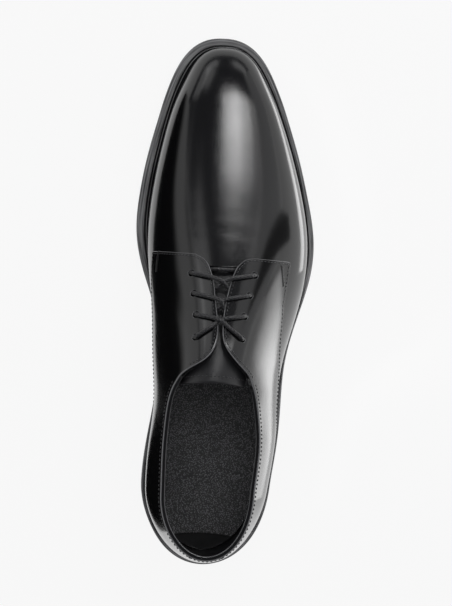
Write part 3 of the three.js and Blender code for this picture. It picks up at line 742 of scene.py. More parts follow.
def ring_sheet(rings, closed=False, caps=False):
    """A sheet between rings of equal length, listed outward face first."""
    grid = np.stack(rings, 1)
    columns, rows = grid.shape[:2]
    quads = ring_quads(columns, rows)
    if closed:
        start = np.arange(columns) * rows
        following = np.roll(start, -1)
        joint = np.stack([start + rows - 1, following + rows - 1, following, start], -1)
        quads = np.concatenate([quads, joint])
    if caps:
        half = columns // 2
        for row, turned in ((0, False), (rows - 1, True)):
            i = np.arange(half)
            cap = np.stack([i, i + 1, columns - i - 1, (columns - i) % columns], -1) * rows + row
            quads = np.concatenate([quads, cap[:, ::-1] if turned else cap])
    points, faces = merged(grid.reshape(-1, 3), quads)
    return Sheet(points, faces)


def sole_outline(pace=1.5):
    ys = steps_between(TOE_Y, HEEL_Y, lambda y: pace)
    return both_sides(stations(SOLE_TIPS, 36, ys, 36)), both_sides(stations(UPPER_TIPS, 36, ys, 36))


def arc(out, height, radius, start, end, count):
    """Offsets of a circular corner: angles from pointing out (0) to pointing up (90)."""
    turns = np.radians(np.linspace(start, end, count))
    return [(out + radius * math.cos(t), height + radius * math.sin(t)) for t in turns]


def make_outsole():
    sole, _ = sole_outline()
    profile = [(7.2, 0), (6.6, TREAD_GROOVE), (6, 0)]
    profile += [(1 - x, h) for x, h in arc(0, 1, 1, -90, 0, 5)]
    middle = OUTSOLE_THICKNESS - 0.5
    profile += [(0, middle - 0.2)]
    profile += [(0.5 - x, h) for x, h in arc(0, middle, 0.5, 0, 90, 4)]
    rings = [sole_ring(sole, inset, height) for inset, height in profile]
    return ring_sheet(rings, caps=True)


def make_welt():
    """The welt: rounded rim, strip that dips to the shoe, and a bead between two grooves."""
    sole, upper = sole_outline()
    bottom = OUTSOLE_THICKNESS + GAP
    top = bottom + WELT_THICKNESS
    seat = foot_ring(upper, 0, top)
    way = (sole_ring(sole, 0, top) - seat) * (1, 1, 0)
    outward = unit(way)

    def between(out, height):
        """A ring at a distance out from the bead's top."""
        points = seat + way * BEAD_PLACE + outward * out
        points[:, 2] = underside(points[:, 1]) + height
        return points
    rings = [sole_ring(sole, 0.35 - x, h) for x, h in arc(0, bottom + 0.35, 0.35, -90, 0, 4)]
    rings += [sole_ring(sole, 0.6 - x, h) for x, h in arc(0, top - 0.6, 0.6, 0, 90, 6)]
    crest = top - 0.25
    half_bead = BEAD_WIDTH / 2
    tall = BEAD_HEIGHT - 0.15
    bead = [(x, up * tall / half_bead - 0.2) for x, up in arc(0, 0, half_bead, 0, 180, 9)]
    strip = [(1.5, -0.1), (1.32, -0.22), (1.15, -0.5), (0.95, -0.6), (0.7, -0.5)]
    inner = [(-0.7, -0.5), (-0.95, -0.6), (-1.3, -0.45)]
    rings += [between(out, crest + up) for out, up in strip + bead + inner]
    rings += [foot_ring(upper, -WELT_SEAT, crest - 0.45), foot_ring(upper, -WELT_SEAT, bottom)]
    return ring_sheet(rings, closed=True)


def bead_distance(points):
    """How far out from the bead's top points lie, negative inside it."""
    sole, upper = sole_outline()
    seat = foot_ring(upper, 0, 0)[:, :2]
    middle = seat + (sole_ring(sole, 0, 0)[:, :2] - seat) * BEAD_PLACE
    return -polygon_distance(points[:, 0], points[:, 1], middle)


def edge_places(points):
    """How far points lie in from the sole's edge, and how far along it from the toe, in millimetres."""
    ring = sole_ring(sole_outline()[0], 0, 0)[:, :2]
    run = run_along(ring)
    run = np.minimum(run, run[-1] - run)
    across = np.abs(polygon_distance(points[:, 0], points[:, 1], ring))
    nearest = [int(np.argmin(np.sum((ring - p[:2])**2, 1))) for p in points]
    return across, run[nearest]


def heel_ring(z, inset):
    """Outline of the heel at a height: round the back, then along the hollowed breast."""
    ys = steps_between(BREAST * LENGTH, HEEL_Y, lambda y: 2.0)
    listed = stations(SOLE_TIPS, 0, ys, 30)
    taper = HEEL_TAPER * (1 - min(1, z / float(underside(0)))) + GAP + inset
    outer = sole_ring([*listed, 1.0], taper, 0)
    inner = sole_ring([*listed, -1.0], taper, 0)[::-1]
    share = np.linspace(0, 1, 26)[1:-1, None]
    breast = inner[-1] + (outer[0] - inner[-1]) * share
    breast[:, 1] -= BREAST_HOLLOW * 4 * share[:, 0] * (1 - share[:, 0]) + inset * 0.5
    ring = np.concatenate([outer, inner[1:], breast])
    ring[:, 2] = np.minimum(z, underside(ring[:, 1]) - GAP)
    return ring


def heel_layer(levels):
    """A solid of the heel from (height, inset) levels, closed with flat faces above and below."""
    rings = [heel_ring(z, inset) for z, inset in levels]
    made = ring_sheet(rings)
    count = len(rings[0])
    caps = []
    for ring, turned in ((rings[0], True), (rings[-1], False)):
        middle = ring.mean(0)
        middle[2] = min(ring[:, 2].max(), float(underside(middle[1])) - GAP)
        steps = [middle + (ring - middle) * s for s in (1, 0.66, 0.33)]
        grid = np.concatenate([np.stack(steps, 1).reshape(-1, 3), middle[None]])
        faces = as_faces(ring_quads(count, 3))
        faces += [(i * 3 + 2, (i + 1) % count * 3 + 2, count * 3) for i in range(count)]
        cap = Sheet(grid, faces).facing_up()
        caps.append(cap.turned() if turned else cap)
    return made.joined(*caps)


def make_top_lift():
    edge = 0.5
    top = TOP_LIFT_THICKNESS
    levels = [(0, edge), (edge * 0.3, edge * 0.3), (edge, 0), (top - 0.3, 0), (top - 0.08, 0.1), (top, 0.35)]
    return heel_layer(levels)


def make_heel():
    bottom = TOP_LIFT_THICKNESS + GAP
    levels = [(bottom, 0.35), (bottom + 0.08, 0.1), (bottom + 0.3, 0)]
    for line in HEEL_LINES:
        levels += [(bottom + line + up, inset)
                   for up, inset in ((-0.3, 0), (-0.1, 0.14), (0, 0.2), (0.1, 0.14), (0.3, 0))]
    levels += [(bottom + 12, 0), (2 * HEEL_HEIGHT, 0)]
    return heel_layer(levels)


def insole_grid(out, height, dish):
    """A grid over the inside of the foot line, slightly dished towards its rim."""
    _, upper = sole_outline(2.2)
    ring = foot_ring(upper, out, height)
    half = len(ring) // 2
    outer = ring[:half + 1]
    inner = np.concatenate([ring[:1], ring[:half - 1:-1]])
    across = np.linspace(0, 1, 33)
    across = 0.5 - 0.5 * np.cos(across * np.pi)
    grid = outer[:, None] * (1 - across[None, :, None]) + inner[:, None] * across[None, :, None]
    grid[..., 2] += dish * (np.abs(2 * across - 1)**3)[None]
    points, faces = merged(grid.reshape(-1, 3), grid_quads(grid.shape[0], grid.shape[1]))
    return Sheet(points, faces).facing_up()


def board_sheet():
    """The insole board: top, edge and underside."""
    height = WELT_TOP + GAP + INSOLE_THICKNESS - 0.9
    return insole_grid(-WALL - GAP - 0.4, height, 0.3).slab(BOARD_THICKNESS, 0.4)


def sock_sheet():
    """The grained sock, which ends in an arc ahead of the heel."""
    top = insole_grid(-WALL - GAP - 0.6, WELT_TOP + GAP + INSOLE_THICKNESS - 0.15, 0.35)
    middle = float(at("centre", np.array(SOCK_END * LENGTH))) * UPPER_WIDTH

    def field(p, n):
        return p[:, 1] - SOCK_END * LENGTH - SOCK_ARC * (1 - ((p[:, 0] - middle) / 26)**2)
    top = top.trimmed(field)
    return top.rolled(top.loops()[0], SOCK_THICKNESS, 0.3)


def tongue_points(share, out):
    """Points of the tongue's face. share: of its length from the top edge, out: of its half width."""
    roll = 0.9
    y = (TONGUE_BACK + (TONGUE_FRONT - TONGUE_BACK) * share) * LENGTH
    half = TONGUE_HALF * UPPER_WIDTH * np.minimum(1, TONGUE_CORNER + share)
    half = half * (1 - TONGUE_TAPER * share) - roll
    drop = GAP + TONGUE_DROP * np.minimum(1, (1 - share) / TONGUE_FALL)
    back = TONGUE_HOLLOW * out**2 * (1 - share)
    return crown_point(y + roll - back, half * out, -WALL - drop)


def make_tongue():
    """The tongue's face alone, and the whole tongue."""
    grid = tongue_points(np.linspace(0, 1, 110)[:, None], np.linspace(-1, 1, 49)[None])
    face = Sheet(grid.reshape(-1, 3), as_faces(grid_quads(110, 49))).facing_up()
    return face, face.slab(TONGUE_THICKNESS, 0.9)


def lace_route():
    """The whole lace, from the hidden end under one top eyelet to the other's."""
    clear = OVERLAY + GAP / 2 + LACE_DIAMETER / 2
    under = -WALL - GAP - LACE_DIAMETER / 2 - 0.1
    bar_along = THROAT_END - BAR_SETBACK
    bar_reach = float(THROAT_GAP(bar_along - LACE_DIAMETER / LENGTH)) * UPPER_WIDTH - GAP
    bar_height = LACE_DIAMETER / 2 - WALL

    def eyelet_pass(side, along, out, shift):
        """Places (along, out, grow) from under the facing up through an eyelet."""
        edge = out * UPPER_WIDTH
        return [(along + shift, side * (edge - LACE_TUCK), under),
                (along, side * (edge - LACE_TURN), under + LACE_TURN),
                (along, side * edge, -0.5), (along, side * (edge - 0.25), OVERLAY + 0.8)]

    def half_route(side):
        """Places from the bar's middle up to one end."""
        places = [(bar_along, 0.45 * side * bar_reach, bar_height),
                  (bar_along, side * (bar_reach - 1), bar_height - 0.8)]
        for crossing_share, (along, out), (next_along, next_out) in zip(CROSSINGS, EYELETS, EYELETS[1:]):
            way = next_along - along
            crossing = along + way * crossing_share
            beyond = next_along - crossing
            places += eyelet_pass(side, along, out, 0.004)
            for share in STRAND_SPOTS:
                place = crossing + (along - crossing) * share**STRAND_BEND
                places.append((place, side * out * UPPER_WIDTH * share, clear))
            places.append((crossing, 0, clear + CROSSING_LIFTS[side]))
            side = -side
            if next_along == EYELETS[-1][0]:
                for share in STRAND_SPOTS[::-1]:
                    places.append((crossing + beyond * share, side * next_out * share * UPPER_WIDTH, clear))
                places += eyelet_pass(side, next_along, next_out, 0.003)[::-1]
            else:
                stop = crossing + beyond * DIVE
                inner = float(THROAT_GAP(stop)) * UPPER_WIDTH - 0.6 * LACE_DIAMETER
                places.append((stop, side * inner, -0.2))
                places.append((crossing + beyond * 0.7, side * (inner + 3.4), under + 0.3))
        return places

    places = half_route(-1)[::-1] + [(bar_along, 0, bar_height)] + half_route(1)
    along, out, grow = np.array(places).T
    return crown_point(along * LENGTH, out, grow)


def tube(route, diameter, sides, pace):
    """A round cord along a route, with its place along and round it for the texture."""
    line = curve_through(route, round(run_along(route)[-1] / pace))
    tangent = unit(np.gradient(line, axis=0))
    across = unit(np.cross(tangent[0], [0, 0, 1.0]))
    rings = []
    for p, t in zip(line, tangent):
        across = unit(across - t * (across @ t))
        up = np.cross(t, across)
        turns = 2 * np.pi * np.arange(sides) / sides
        rings.append(p + diameter / 2 * (np.cos(turns)[:, None] * across + np.sin(turns)[:, None] * up))
    grid = np.stack(rings, 1)
    quads = ring_quads(sides, len(line))
    made = Sheet(grid.reshape(-1, 3), as_faces(quads))
    if np.sum(made.normals * (made.points - np.tile(line, (sides, 1)))) < 0:
        made = made.turned()
    along = np.tile(np.arange(len(line)) * pace, sides)
    around = np.repeat(np.arange(sides) / sides, len(line))
    return made, np.stack([along, around], -1)


class Look:
    """A material in the making: its Principled shader's inputs, and short ways to add nodes."""

    def __init__(self, name, color, roughness, specular=0.5):
        self.material = bpy.data.materials.new(name)
        self.material.use_nodes = True
        self.tree = self.material.node_tree
        self.inputs = self.tree.nodes["Principled BSDF"].inputs
        self.inputs["Base Color"].default_value = (*color, 1)
        self.inputs["Roughness"].default_value = roughness
        self.inputs["Specular IOR Level"].default_value = specular
        self.place = self.node("ShaderNodeTexCoord").outputs["Object"]

    def feed(self, value, socket):
        """Links another node's socket to this one, or sets it to a plain value."""
        if isinstance(value, bpy.types.NodeSocket):
            self.tree.links.new(value, socket)
        else:
            socket.default_value = value

    def node(self, kind, **settings):
        """A node with its settings, and its inputs by name."""
        fresh = self.tree.nodes.new(kind)
        for key, value in settings.items():
            if hasattr(fresh, key):
                setattr(fresh, key, value)
            else:
                self.feed(value, fresh.inputs[key.replace("_", " ")])
        return fresh

    def attribute(self, name):
        return self.node("ShaderNodeAttribute", attribute_name=name).outputs["Fac"]

    def math(self, operation, a, b=0):
        fresh = self.node("ShaderNodeMath", operation=operation)
        self.feed(a, fresh.inputs[0])
        self.feed(b, fresh.inputs[1])
        return fresh.outputs[0]

    def mix_in(self, value, other, share):
        """The value with a share of another one added."""
        return self.math("ADD", value, self.math("MULTIPLY", other, share))

    def noise(self, scale, detail=2.0, place=None):
        place = self.place if place is None else place
        return self.node("ShaderNodeTexNoise", Scale=scale, Detail=detail, Vector=place).outputs["Fac"]

    def cells(self, scale, feature="SMOOTH_F1", **settings):
        settings.update(Scale=scale, Vector=self.place)
        return self.node("ShaderNodeTexVoronoi", feature=feature, **settings).outputs["Distance"]

    def spread(self, value, low, high, from_low=0.0, from_high=1.0):
        return self.node("ShaderNodeMapRange", Value=value, From_Min=from_low, From_Max=from_high,
                         To_Min=low, To_Max=high).outputs["Result"]

    def bump(self, height, distance, strength, **base):
        return self.node("ShaderNodeBump", Strength=strength, Distance=distance, Height=height,
                         **base).outputs["Normal"]

    def relief(self, height, distance, strength, **base):
        self.feed(self.bump(height, distance, strength, **base), self.inputs["Normal"])

    def rough(self, value, low, high):
        self.feed(self.spread(value, low, high), self.inputs["Roughness"])

    def tint(self, value, dark, light):
        fresh = self.node("ShaderNodeMix", data_type="RGBA")
        self.feed(value, fresh.inputs[0])
        self.feed((*dark, 1), fresh.inputs[6])
        self.feed((*light, 1), fresh.inputs[7])
        self.feed(fresh.outputs[2], self.inputs["Base Color"])


def polished_leather():
    """Box leather brushed to a high shine. Its grain shows most where the vamp isn't stretched."""
    look = Look("polished_leather", (0.005, 0.005, 0.006), 0.2)
    grain = look.attribute("grain")
    smudge = look.noise(38, 3)
    # painted highlight: the edge attribute tints the rounded edges' corners light grey
    look.tint(look.attribute("edge"), (0.002, 0.002, 0.0023), (0.14, 0.14, 0.145))
    rough = look.math("ADD", look.spread(grain, 0.15, 0.17), look.spread(smudge, -0.03, 0.03))
    look.feed(rough, look.inputs["Roughness"])
    height = look.mix_in(look.cells(1800), look.noise(1700, 3), 1.2)
    height = look.math("MULTIPLY", height, look.spread(grain, 0.06, 1))
    soft = look.bump(smudge, 0.0003, 0.3)
    look.relief(height, 0.000042, 0.9, Normal=soft)
    look.inputs["Coat Weight"].default_value = 0.12
    look.inputs["Coat Roughness"].default_value = 0.16
    look.feed(soft, look.inputs["Coat Normal"])
    return look.material


def lining_leather():
    look = Look("lining_leather", (0.01, 0.01, 0.011), 0.45, 0.4)
    look.tint(look.noise(260, 4), (0.006, 0.006, 0.007), (0.014, 0.014, 0.015))
    look.rough(look.noise(90, 3), 0.36, 0.52)
    look.relief(look.cells(1300), 0.00006, 0.6)
    return look.material


def sock_leather():
    """Pebbled black leather with pale glints on its grain."""
    look = Look("sock_leather", (0.02, 0.02, 0.021), 0.42, 0.6)
    pebbles = look.cells(1300, "F1")
    look.tint(look.spread(pebbles, 1, 0, 0.05, 0.5), (0.02, 0.02, 0.021), (0.2, 0.202, 0.21))
    look.rough(look.noise(240, 4), 0.34, 0.55)
    height = look.math("SUBTRACT", look.math("MULTIPLY", look.noise(700, 5), 0.9), pebbles)
    look.relief(height, 0.00018, 1.0)
    return look.material


def board_leather():
    look = Look("board_leather", (0.006, 0.006, 0.0065), 0.5, 0.35)
    look.tint(look.noise(200, 3), (0.004, 0.004, 0.0045), (0.01, 0.01, 0.0105))
    look.relief(look.noise(1800, 2), 0.00004, 0.5)
    return look.material


def heel_leather():
    """Stacked leather, inked and waxed, with fine lines along it."""
    look = Look("heel_leather", (0.008, 0.008, 0.008), 0.36)
    look.tint(look.noise(420, 5), (0.008, 0.008, 0.008), (0.0152, 0.0152, 0.0152))
    look.rough(look.noise(150, 4), 0.29, 0.46)
    stretch = look.node("ShaderNodeMapping", Scale=(1, 0.12, 1.6), Vector=look.place)
    look.relief(look.noise(2200, 3, stretch.outputs["Vector"]), 0.00007, 0.8)
    return look.material


def welt_leather():
    """Inked welt: a brushed grey strip, black grooves whose black is partly painted shade, and a polished
    bead with a painted highlight line along its top. Attributes hold its places.
    """
    look = Look("welt_leather", (0.03, 0.03, 0.032), 0.34)
    rim = look.attribute("strip")
    place = look.node("ShaderNodeCombineXYZ", X=look.math("MULTIPLY", look.attribute("across"), 1.2),
                      Y=look.math("MULTIPLY", look.attribute("along"), 0.035))
    streaks = look.noise(1.0, 3, place.outputs[0])
    # strip attribute: the brushed grey strip, black grooves that are partly painted shade, and a painted
    # highlight line on the bead's top
    streaks_and_bead_highlight = look.math("MULTIPLY", look.spread(streaks, 0, 1, 0.3, 0.75), rim)
    look.tint(streaks_and_bead_highlight, (0.004, 0.004, 0.0045), (0.27, 0.27, 0.275))
    look.rough(rim, 0.2, 0.4)
    look.relief(look.mix_in(streaks, look.noise(1500, 3), 0.4), 0.00012, 0.7)
    return look.material


def sole_rubber():
    """Matt rubber with fine moulded dots."""
    look = Look("sole_rubber", (0.018, 0.018, 0.018), 0.62, 0.4)
    look.tint(look.noise(120, 4), (0.013, 0.013, 0.013), (0.028, 0.028, 0.027))
    dots = look.cells(420, "F1", Randomness=0.0)
    look.relief(look.mix_in(dots, look.noise(1500), 0.4), 0.00018, 0.7)
    return look.material


def waxed_thread(name, dark, light):
    look = Look(name, dark, 0.4)
    look.tint(look.noise(900, 2), dark, light)
    look.relief(look.noise(5000, 1), 0.00006, 0.7)
    return look.material


def braided_cord():
    """Round braid: two sets of strands that wind across each other."""
    strands, lay = 4, 2.1
    look = Look("braided_cord", (0.02, 0.02, 0.022), 0.34, 0.6)
    uv = look.node("ShaderNodeUVMap", uv_map="braid").outputs["UV"]
    along, around = look.node("ShaderNodeSeparateXYZ", Vector=uv).outputs[:2]
    turn = look.math("MULTIPLY", around, 2 * math.pi * strands)
    pitch = look.math("MULTIPLY", along, 2 * math.pi / lay)
    left, right = (look.math("SINE", look.math(way, turn, pitch)) for way in ("ADD", "SUBTRACT"))
    weave = look.math("MAXIMUM", left, right)
    look.tint(look.spread(weave, 0, 1, -0.4, 1), (0.003, 0.003, 0.0035), (0.014, 0.014, 0.0155))
    look.relief(look.mix_in(weave, look.noise(4200, 2), 0.5), 0.00012, 0.9)
    look.inputs["Sheen Weight"].default_value = 0.05
    return look.material


def new_object(name, data):
    made = bpy.data.objects.new(name, data)
    bpy.context.scene.collection.objects.link(made)
    return made


def new_mesh(name, points, faces, material):
    mesh = bpy.data.meshes.new(name)
    mesh.from_pydata(points, [], faces)
    mesh.materials.append(material)
    return mesh


def add_values(mesh, **values):
    """Gives a mesh's points numbers that its material reads."""
    for key, numbers in values.items():
        numbers = np.asarray(numbers, np.float32)
        mesh.attributes.new(key, "FLOAT", "POINT").data.foreach_set("value", numbers)


def show(name, sheet, material, slot, replaced=(), uv=None, **values):
    """Puts a sheet in the scene as an object that rides on the shoe's one body."""
    mesh = new_mesh(name, ((sheet.points - ORIGIN) / 1000).tolist(), sheet.faces, material)
    mesh.polygons.foreach_set("use_smooth", [True] * len(mesh.polygons))
    mesh.normals_split_custom_set_from_vertices(sheet.normals.tolist())
    if uv is not None:
        corners = np.array([v.vertex_index for v in mesh.loops])
        mesh.uv_layers.new(name="braid").data.foreach_set("uv", uv[corners].astype(np.float32).ravel())
    add_values(mesh, **values)
    made = new_object(name, mesh)
    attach(made, "root")
    if replaced:
        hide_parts(*replaced)


def vamp_grain(points):
    """Where the leather's grain shows: over the vamp's crown, not on the flanks."""
    y = points[:, 1]
    across = (points[:, 0] - crown_line(y)) / (at("half", y) * UPPER_WIDTH)
    return np.exp(-(across / 0.55)**2) * smooth_step(y, 0.5 * LENGTH, 0.62 * LENGTH)


def seam_rows(quarter_last, tongue_top):
    """Every row of stitches as centres, tangents and normals."""
    def seam(p):
        off_foot = p[:, 2] > foot_height(p[:, 1]) + 5
        return off_foot & ((top_field(p) > throat_field(p)) | (quarter_side_field(p) < 4))

    def collar(p):
        return (top_field(p) < COLLAR_SEAM_INSET + 0.3) & (p[:, 1] < 0.36 * LENGTH)

    rows = []
    for inset, wanted in ((SEAM_INSET, seam), (COLLAR_SEAM_INSET, collar)):
        for p, n in paths_on(quarter_last, lambda q, _: quarter_field(q, inset), wanted):
            rows.append(evenly(p, n, STITCH_PITCH))
    hem = tongue_points(0.036, np.linspace(-0.97, 0.97, 60))
    nearest = [int(np.argmin(np.linalg.norm(tongue_top.points - p, axis=1))) for p in hem]
    rows.append(evenly(hem, tongue_top.normals[nearest], STITCH_PITCH))
    return rows


def make_bar_tacks(quarters):
    """Cross stitching at the front corners and at the back of the collar."""
    points = quarters.points
    tacks = []
    for side, inset, back in ((-1, 2.4, 6.5), (1, 3.8, 8)):
        ahead = QUARTER_SEAM[0][0] * LENGTH - QUARTER_SKEW * side * UPPER_WIDTH / 2
        near = np.abs(points[:, 1] - ahead + 3) < 1.5
        rim = points[near & (side * points[:, 0] > 0)]
        corner = rim[np.argmin(rim[:, 2])]
        spot, normal = surface_spot(quarters, corner[0] - side * inset, ahead - back)
        along = np.array([0, 1.0, 0])
        tacks.append(bar_tack(spot, unit(along - normal * (along @ normal)), normal, CORNER_TACK))
    for x in (-11.5, 6.5):
        at_back = (points[:, 1] < 30) & (np.abs(points[:, 0] - x) < 1.0)
        top = points[np.argmax(np.where(at_back, points[:, 2], -1e3))]
        spot, normal = surface_spot(quarters, top[0], top[1], top[2] - 2.2)
        tacks.append(bar_tack(spot, unit(np.array([0, 0, 1.0]) - normal * normal[2]), normal, COLLAR_TACK))
    return stitches(tacks, 2.6, THREAD_DIAMETER, 0.1)


def make_camera():
    """The photograph's camera: straight above, its top edge turned a little from the shoe's toe."""
    place = Vector((-0.0569, -0.006, 1.15))
    target = Vector((0.001, -0.0014, 0.028))
    forward = (target - place).normalized()
    turn = math.radians(2.4)
    up = Vector((-math.sin(turn), math.cos(turn), 0))
    right = forward.cross(up).normalized()
    up = right.cross(forward)
    data = bpy.data.cameras.new("camera")
    data.sensor_fit = "AUTO"
    data.sensor_width = 36
    data.lens = 115.6
    data.clip_start = 0.05
    data.clip_end = 20
    camera = new_object("camera", data)
    camera.matrix_world = Matrix((right, up, -forward)).transposed().to_4x4()
    camera.location = place
    bpy.context.scene.camera = camera


def area_light(name, place, size, radiance, shape="RECTANGLE"):
    """A soft light of a size in metres. radiance is how bright its face is."""
    data = bpy.data.lights.new(name, "AREA")
    data.shape = shape
    data.size, data.size_y = size
    area = size[0] * size[1] * (math.pi / 4 if shape == "ELLIPSE" else 1)
    data.energy = radiance * math.pi * area
    light = new_object(name, data)
    light.location = place
    light.rotation_mode = "QUATERNION"
    light.visible_camera = False
    return light


def aimed_light(name, near, side, ahead, distance, size, radiance, shape="RECTANGLE"):
    """A light that faces a place near the shoe. It stands side degrees right and ahead degrees to the toe."""
    side, ahead = math.radians(side), math.radians(ahead)
    back = Vector((math.sin(side) * math.cos(ahead), math.sin(ahead), math.cos(side) * math.cos(ahead)))
    light = area_light(name, Vector(near) + back * distance, size, radiance, shape)
    across = Vector((math.cos(side), 0, -math.sin(side)))
    up = back.cross(across).normalized()
    light.rotation_quaternion = Matrix((up.cross(back), up, back)).transposed().to_quaternion()


def make_lights():
    centre = (0, 0.05, 0.05)
    toe = (0, 0.105, 0.05)
    aimed_light("key", toe, 10, 29.3, 0.45, (0.16, 0.106), 7, "ELLIPSE")
    aimed_light("key_wide", toe, 18, 27.5, 0.45, (0.29, 0.095), 5, "ELLIPSE")
    aimed_light("key_side", toe, 26, 27, 0.45, (0.42, 0.095), 2.5, "ELLIPSE")
    aimed_light("front_left", centre, -42, 49, 1.2, (0.44, 0.44), 1.0)
    aimed_light("far_left", centre, -65, 44, 1.2, (0.42, 0.5), 0.9)
    for name, x in (("front_low_left", -0.49), ("front_low_right", 0.49)):
        aimed_light(name, (x, *centre[1:]), 0, 74, 1.2, (0.62, 0.3), 1.3)
    aimed_light("right_wall", centre, 76, 12, 1.3, (1.15, 2.2), 0.7)
    fill = area_light("fill", (0, 0, 1.8), (2.6, 2.6), 1.5)
    fill.rotation_quaternion = (Vector(centre) - fill.location).to_track_quat("-Z", "Y")
    fill.visible_glossy = False


# Cards beside the shoe, seen by its gloss alone, in metres. Rows run along y, places (x, z, glow) upwards.
LEFT_CARD = [
    (y, [(x0, 0.003, 0), (x1, z1, 0), (x2, z2, 0.8), (-0.14, z3, 0.9), (-0.14, z3 + 0.024, top)])
    for y, x0, x1, z1, x2, z2, z3, top in (
        (0.15, -0.08, -0.084, 0.01, -0.09, 0.03, 0.108, 0.3),
        (0.13, -0.08, -0.092, 0.034, -0.095, 0.052, 0.108, 0.3),
        (0.105, -0.081, -0.095, 0.043, -0.097, 0.058, 0.11, 0.3),
        (0.06, -0.083, -0.098, 0.056, -0.1, 0.07, 0.122, 0.3),
        (0.03, -0.078, -0.097, 0.057, -0.099, 0.072, 0.126, 0.6),
        (0.005, -0.07, -0.093, 0.048, -0.096, 0.066, 0.126, 0.8),
        (-0.05, -0.062, -0.09, 0.05, -0.094, 0.07, 0.126, 0.8),
        (-0.105, -0.055, -0.085, 0.052, -0.09, 0.072, 0.126, 0.8),
        (-0.15, -0.05, -0.07, 0.02, -0.085, 0.06, 0.126, 0.8))
]
RIGHT_CARD = [
    (0.05, [(0.133, 0.047, 0.6), (0.133, 0.059, 0.6), (0.133, 0.074, 0.5)]),
    (0.04, [(0.133, 0.044, 4), (0.133, 0.056, 3), (0.133, 0.072, 0.8)]),
    (0.015, [(0.133, 0.028, 5), (0.133, 0.038, 4), (0.133, 0.064, 0.8)]),
    (-0.02, [(0.118, 0.003, 4.6), (0.133, 0.015, 4.2), (0.133, 0.053, 1)]),
    (-0.04, [(0.086, 0.003, 4), (0.118, 0.004, 4.2), (0.133, 0.022, 2)]),
    (-0.057, [(0.076, 0.003, 3.6), (0.081, 0.004, 3.6), (0.097, 0.005, 2)]),
    (-0.082, [(0.066, 0.003, 3), (0.071, 0.004, 3), (0.08, 0.005, 2)]),
    (-0.12, [(0.06, 0.003, 2), (0.066, 0.004, 2), (0.074, 0.005, 1)]),
]
RIM_CARD = [
    (y, [(low, 0.003, glow), (high, 0.004, glow)])
    for y, low, high, glow in (
        (0.15, 0.022, 0.042, 1.5), (0.13, 0.042, 0.058, 3.5), (0.1, 0.058, 0.075, 4),
        (0.06, 0.07, 0.088, 4), (0.02, 0.074, 0.09, 3))
]
DARK_CARD = [
    (y, [(0.105, bottom, glow), (0.105, top, glow), (0.105, top + 0.015, 0.6)])
    for y, bottom, top, glow in (
        (0.084, 0.05, 0.085, 0.3), (0.074, 0.03, 0.095, 0.1), (0.054, 0.03, 0.105, 0.1))
]


def make_cards():
    """Shaded cards that stand for the studio's white table, its flags and the pair's other shoe."""
    look = Look("card", (0, 0, 0), 1, 0)
    look.inputs["Emission Color"].default_value = (1, 1, 1, 1)
    look.feed(look.attribute("glow"), look.inputs["Emission Strength"])
    for name, rows in (("left", LEFT_CARD), ("right", RIGHT_CARD), ("rim", RIM_CARD), ("dark", DARK_CARD)):
        points = [(x, y, z) for y, row in rows for x, z, _ in row]
        faces = as_faces(grid_quads(len(rows), len(rows[0][1])))
        mesh = new_mesh(name + "_card", points, faces, look.material)
        add_values(mesh, glow=[glow for _, row in rows for _, _, glow in row])
        card = new_object(name + "_card", mesh)
        card.visible_camera = False
        card.visible_diffuse = False
        card.visible_shadow = False


def make_world():
    world = bpy.data.worlds.new("studio")
    world.use_nodes = True
    background = world.node_tree.nodes["Background"].inputs
    background["Color"].default_value = (0.9, 0.92, 1, 1)
    background["Strength"].default_value = 0.14
    bpy.context.scene.world = world
    bpy.context.scene.view_settings.view_transform = "Standard"


def make_floor():
    """A white table lit from below."""
    look = Look("studio_floor", (0.03, 0.03, 0.03), 0.9, 0.1)
    look.tint(look.noise(3, 2), (0.028, 0.028, 0.028), (0.032, 0.032, 0.032))
    look.inputs["Emission Color"].default_value = (1, 1, 1, 1)
    look.inputs["Emission Strength"].default_value = 0.905
    half = 4.0
    corners = [(-half, -half, 0), (half, -half, 0), (half, half, 0), (-half, half, 0)]
    new_object("floor", new_mesh("floor", corners, [(0, 1, 2, 3)], look.material))


make_camera()
make_world()
make_lights()
make_cards()
make_floor()

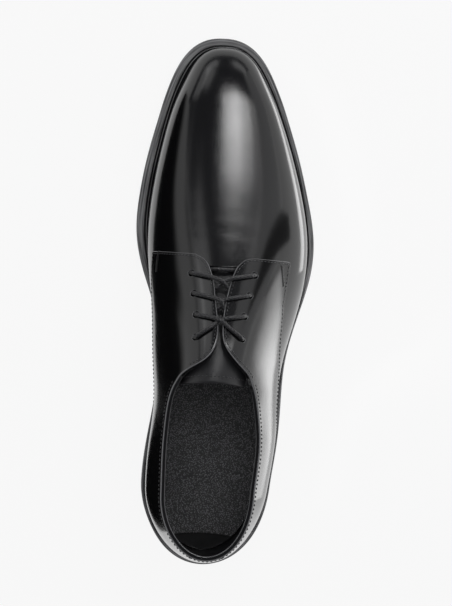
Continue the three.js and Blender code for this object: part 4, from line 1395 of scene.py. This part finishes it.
leather = polished_leather()
thread = waxed_thread("waxed_thread", (0.014, 0.014, 0.015), (0.04, 0.04, 0.043))
tack_thread = waxed_thread("tack_thread", (0.002, 0.002, 0.002), (0.01, 0.01, 0.011))
lining_look = lining_leather()
rubber = sole_rubber()

quarter_last = last_sheet(OVERLAY, 1.3)
vamp_last = last_sheet(0, 1.3)
quarters, quarter_edge_highlight = make_quarters(quarter_last)
vamp = make_vamp(vamp_last)
tongue_top, tongue = make_tongue()
lace, lace_uv = tube(lace_route(), LACE_DIAMETER, 12, 0.6)

quarter_grain = vamp_grain(quarters.points) * 0.5
show("quarters", quarters, leather, "upper_leather", ["upper"], grain=quarter_grain, edge=quarter_edge_highlight)
show("vamp", vamp, leather, "upper_leather", ["upper"], grain=vamp_grain(vamp.points))
show("lining", make_lining(), lining_look, "lining_leather", ["upper"])
show("tongue_leather", tongue, lining_look, "upper_leather", ["tongue"])
show("insole_board", board_sheet(), board_leather(), "lining_leather", ["insole"])
show("insole_sock", sock_sheet(), sock_leather(), "lining_leather", ["insole"])
welt = make_welt()
across, along = edge_places(welt.points)
from_bead = bead_distance(welt.points)
# strip is 1 on the brushed strip and 0 in the grooves, whose black is partly painted shade. It is 0.8 along
# the bead's top as a painted highlight line.
strip = smooth_step(from_bead, 1.1, 1.5) + 0.8 * np.exp(-(from_bead / 0.28)**2)
show("welt_strip", welt, welt_leather(), "welt_leather", ["welt"], across=across, along=along, strip=strip)
show("outsole_plate", make_outsole(), rubber, "sole_rubber", ["outsole"])
show("heel_stack", make_heel(), heel_leather(), "sole_rubber", ["heel"])
show("heel_lift", make_top_lift(), rubber, "sole_rubber", ["top_lift"])
lace_nodes = ["lace_bar", "lace_cross_1", "lace_cross_2", "lace_cross_3"]
show("lace", lace, braided_cord(), "lace_cord", lace_nodes, uv=lace_uv)
seams = stitches(seam_rows(quarter_last, tongue_top), STITCH_LENGTH, THREAD_DIAMETER)
show("seam_stitching", seams, thread, "upper_leather")
show("bar_tacks", make_bar_tacks(quarters), tack_thread, "upper_leather")
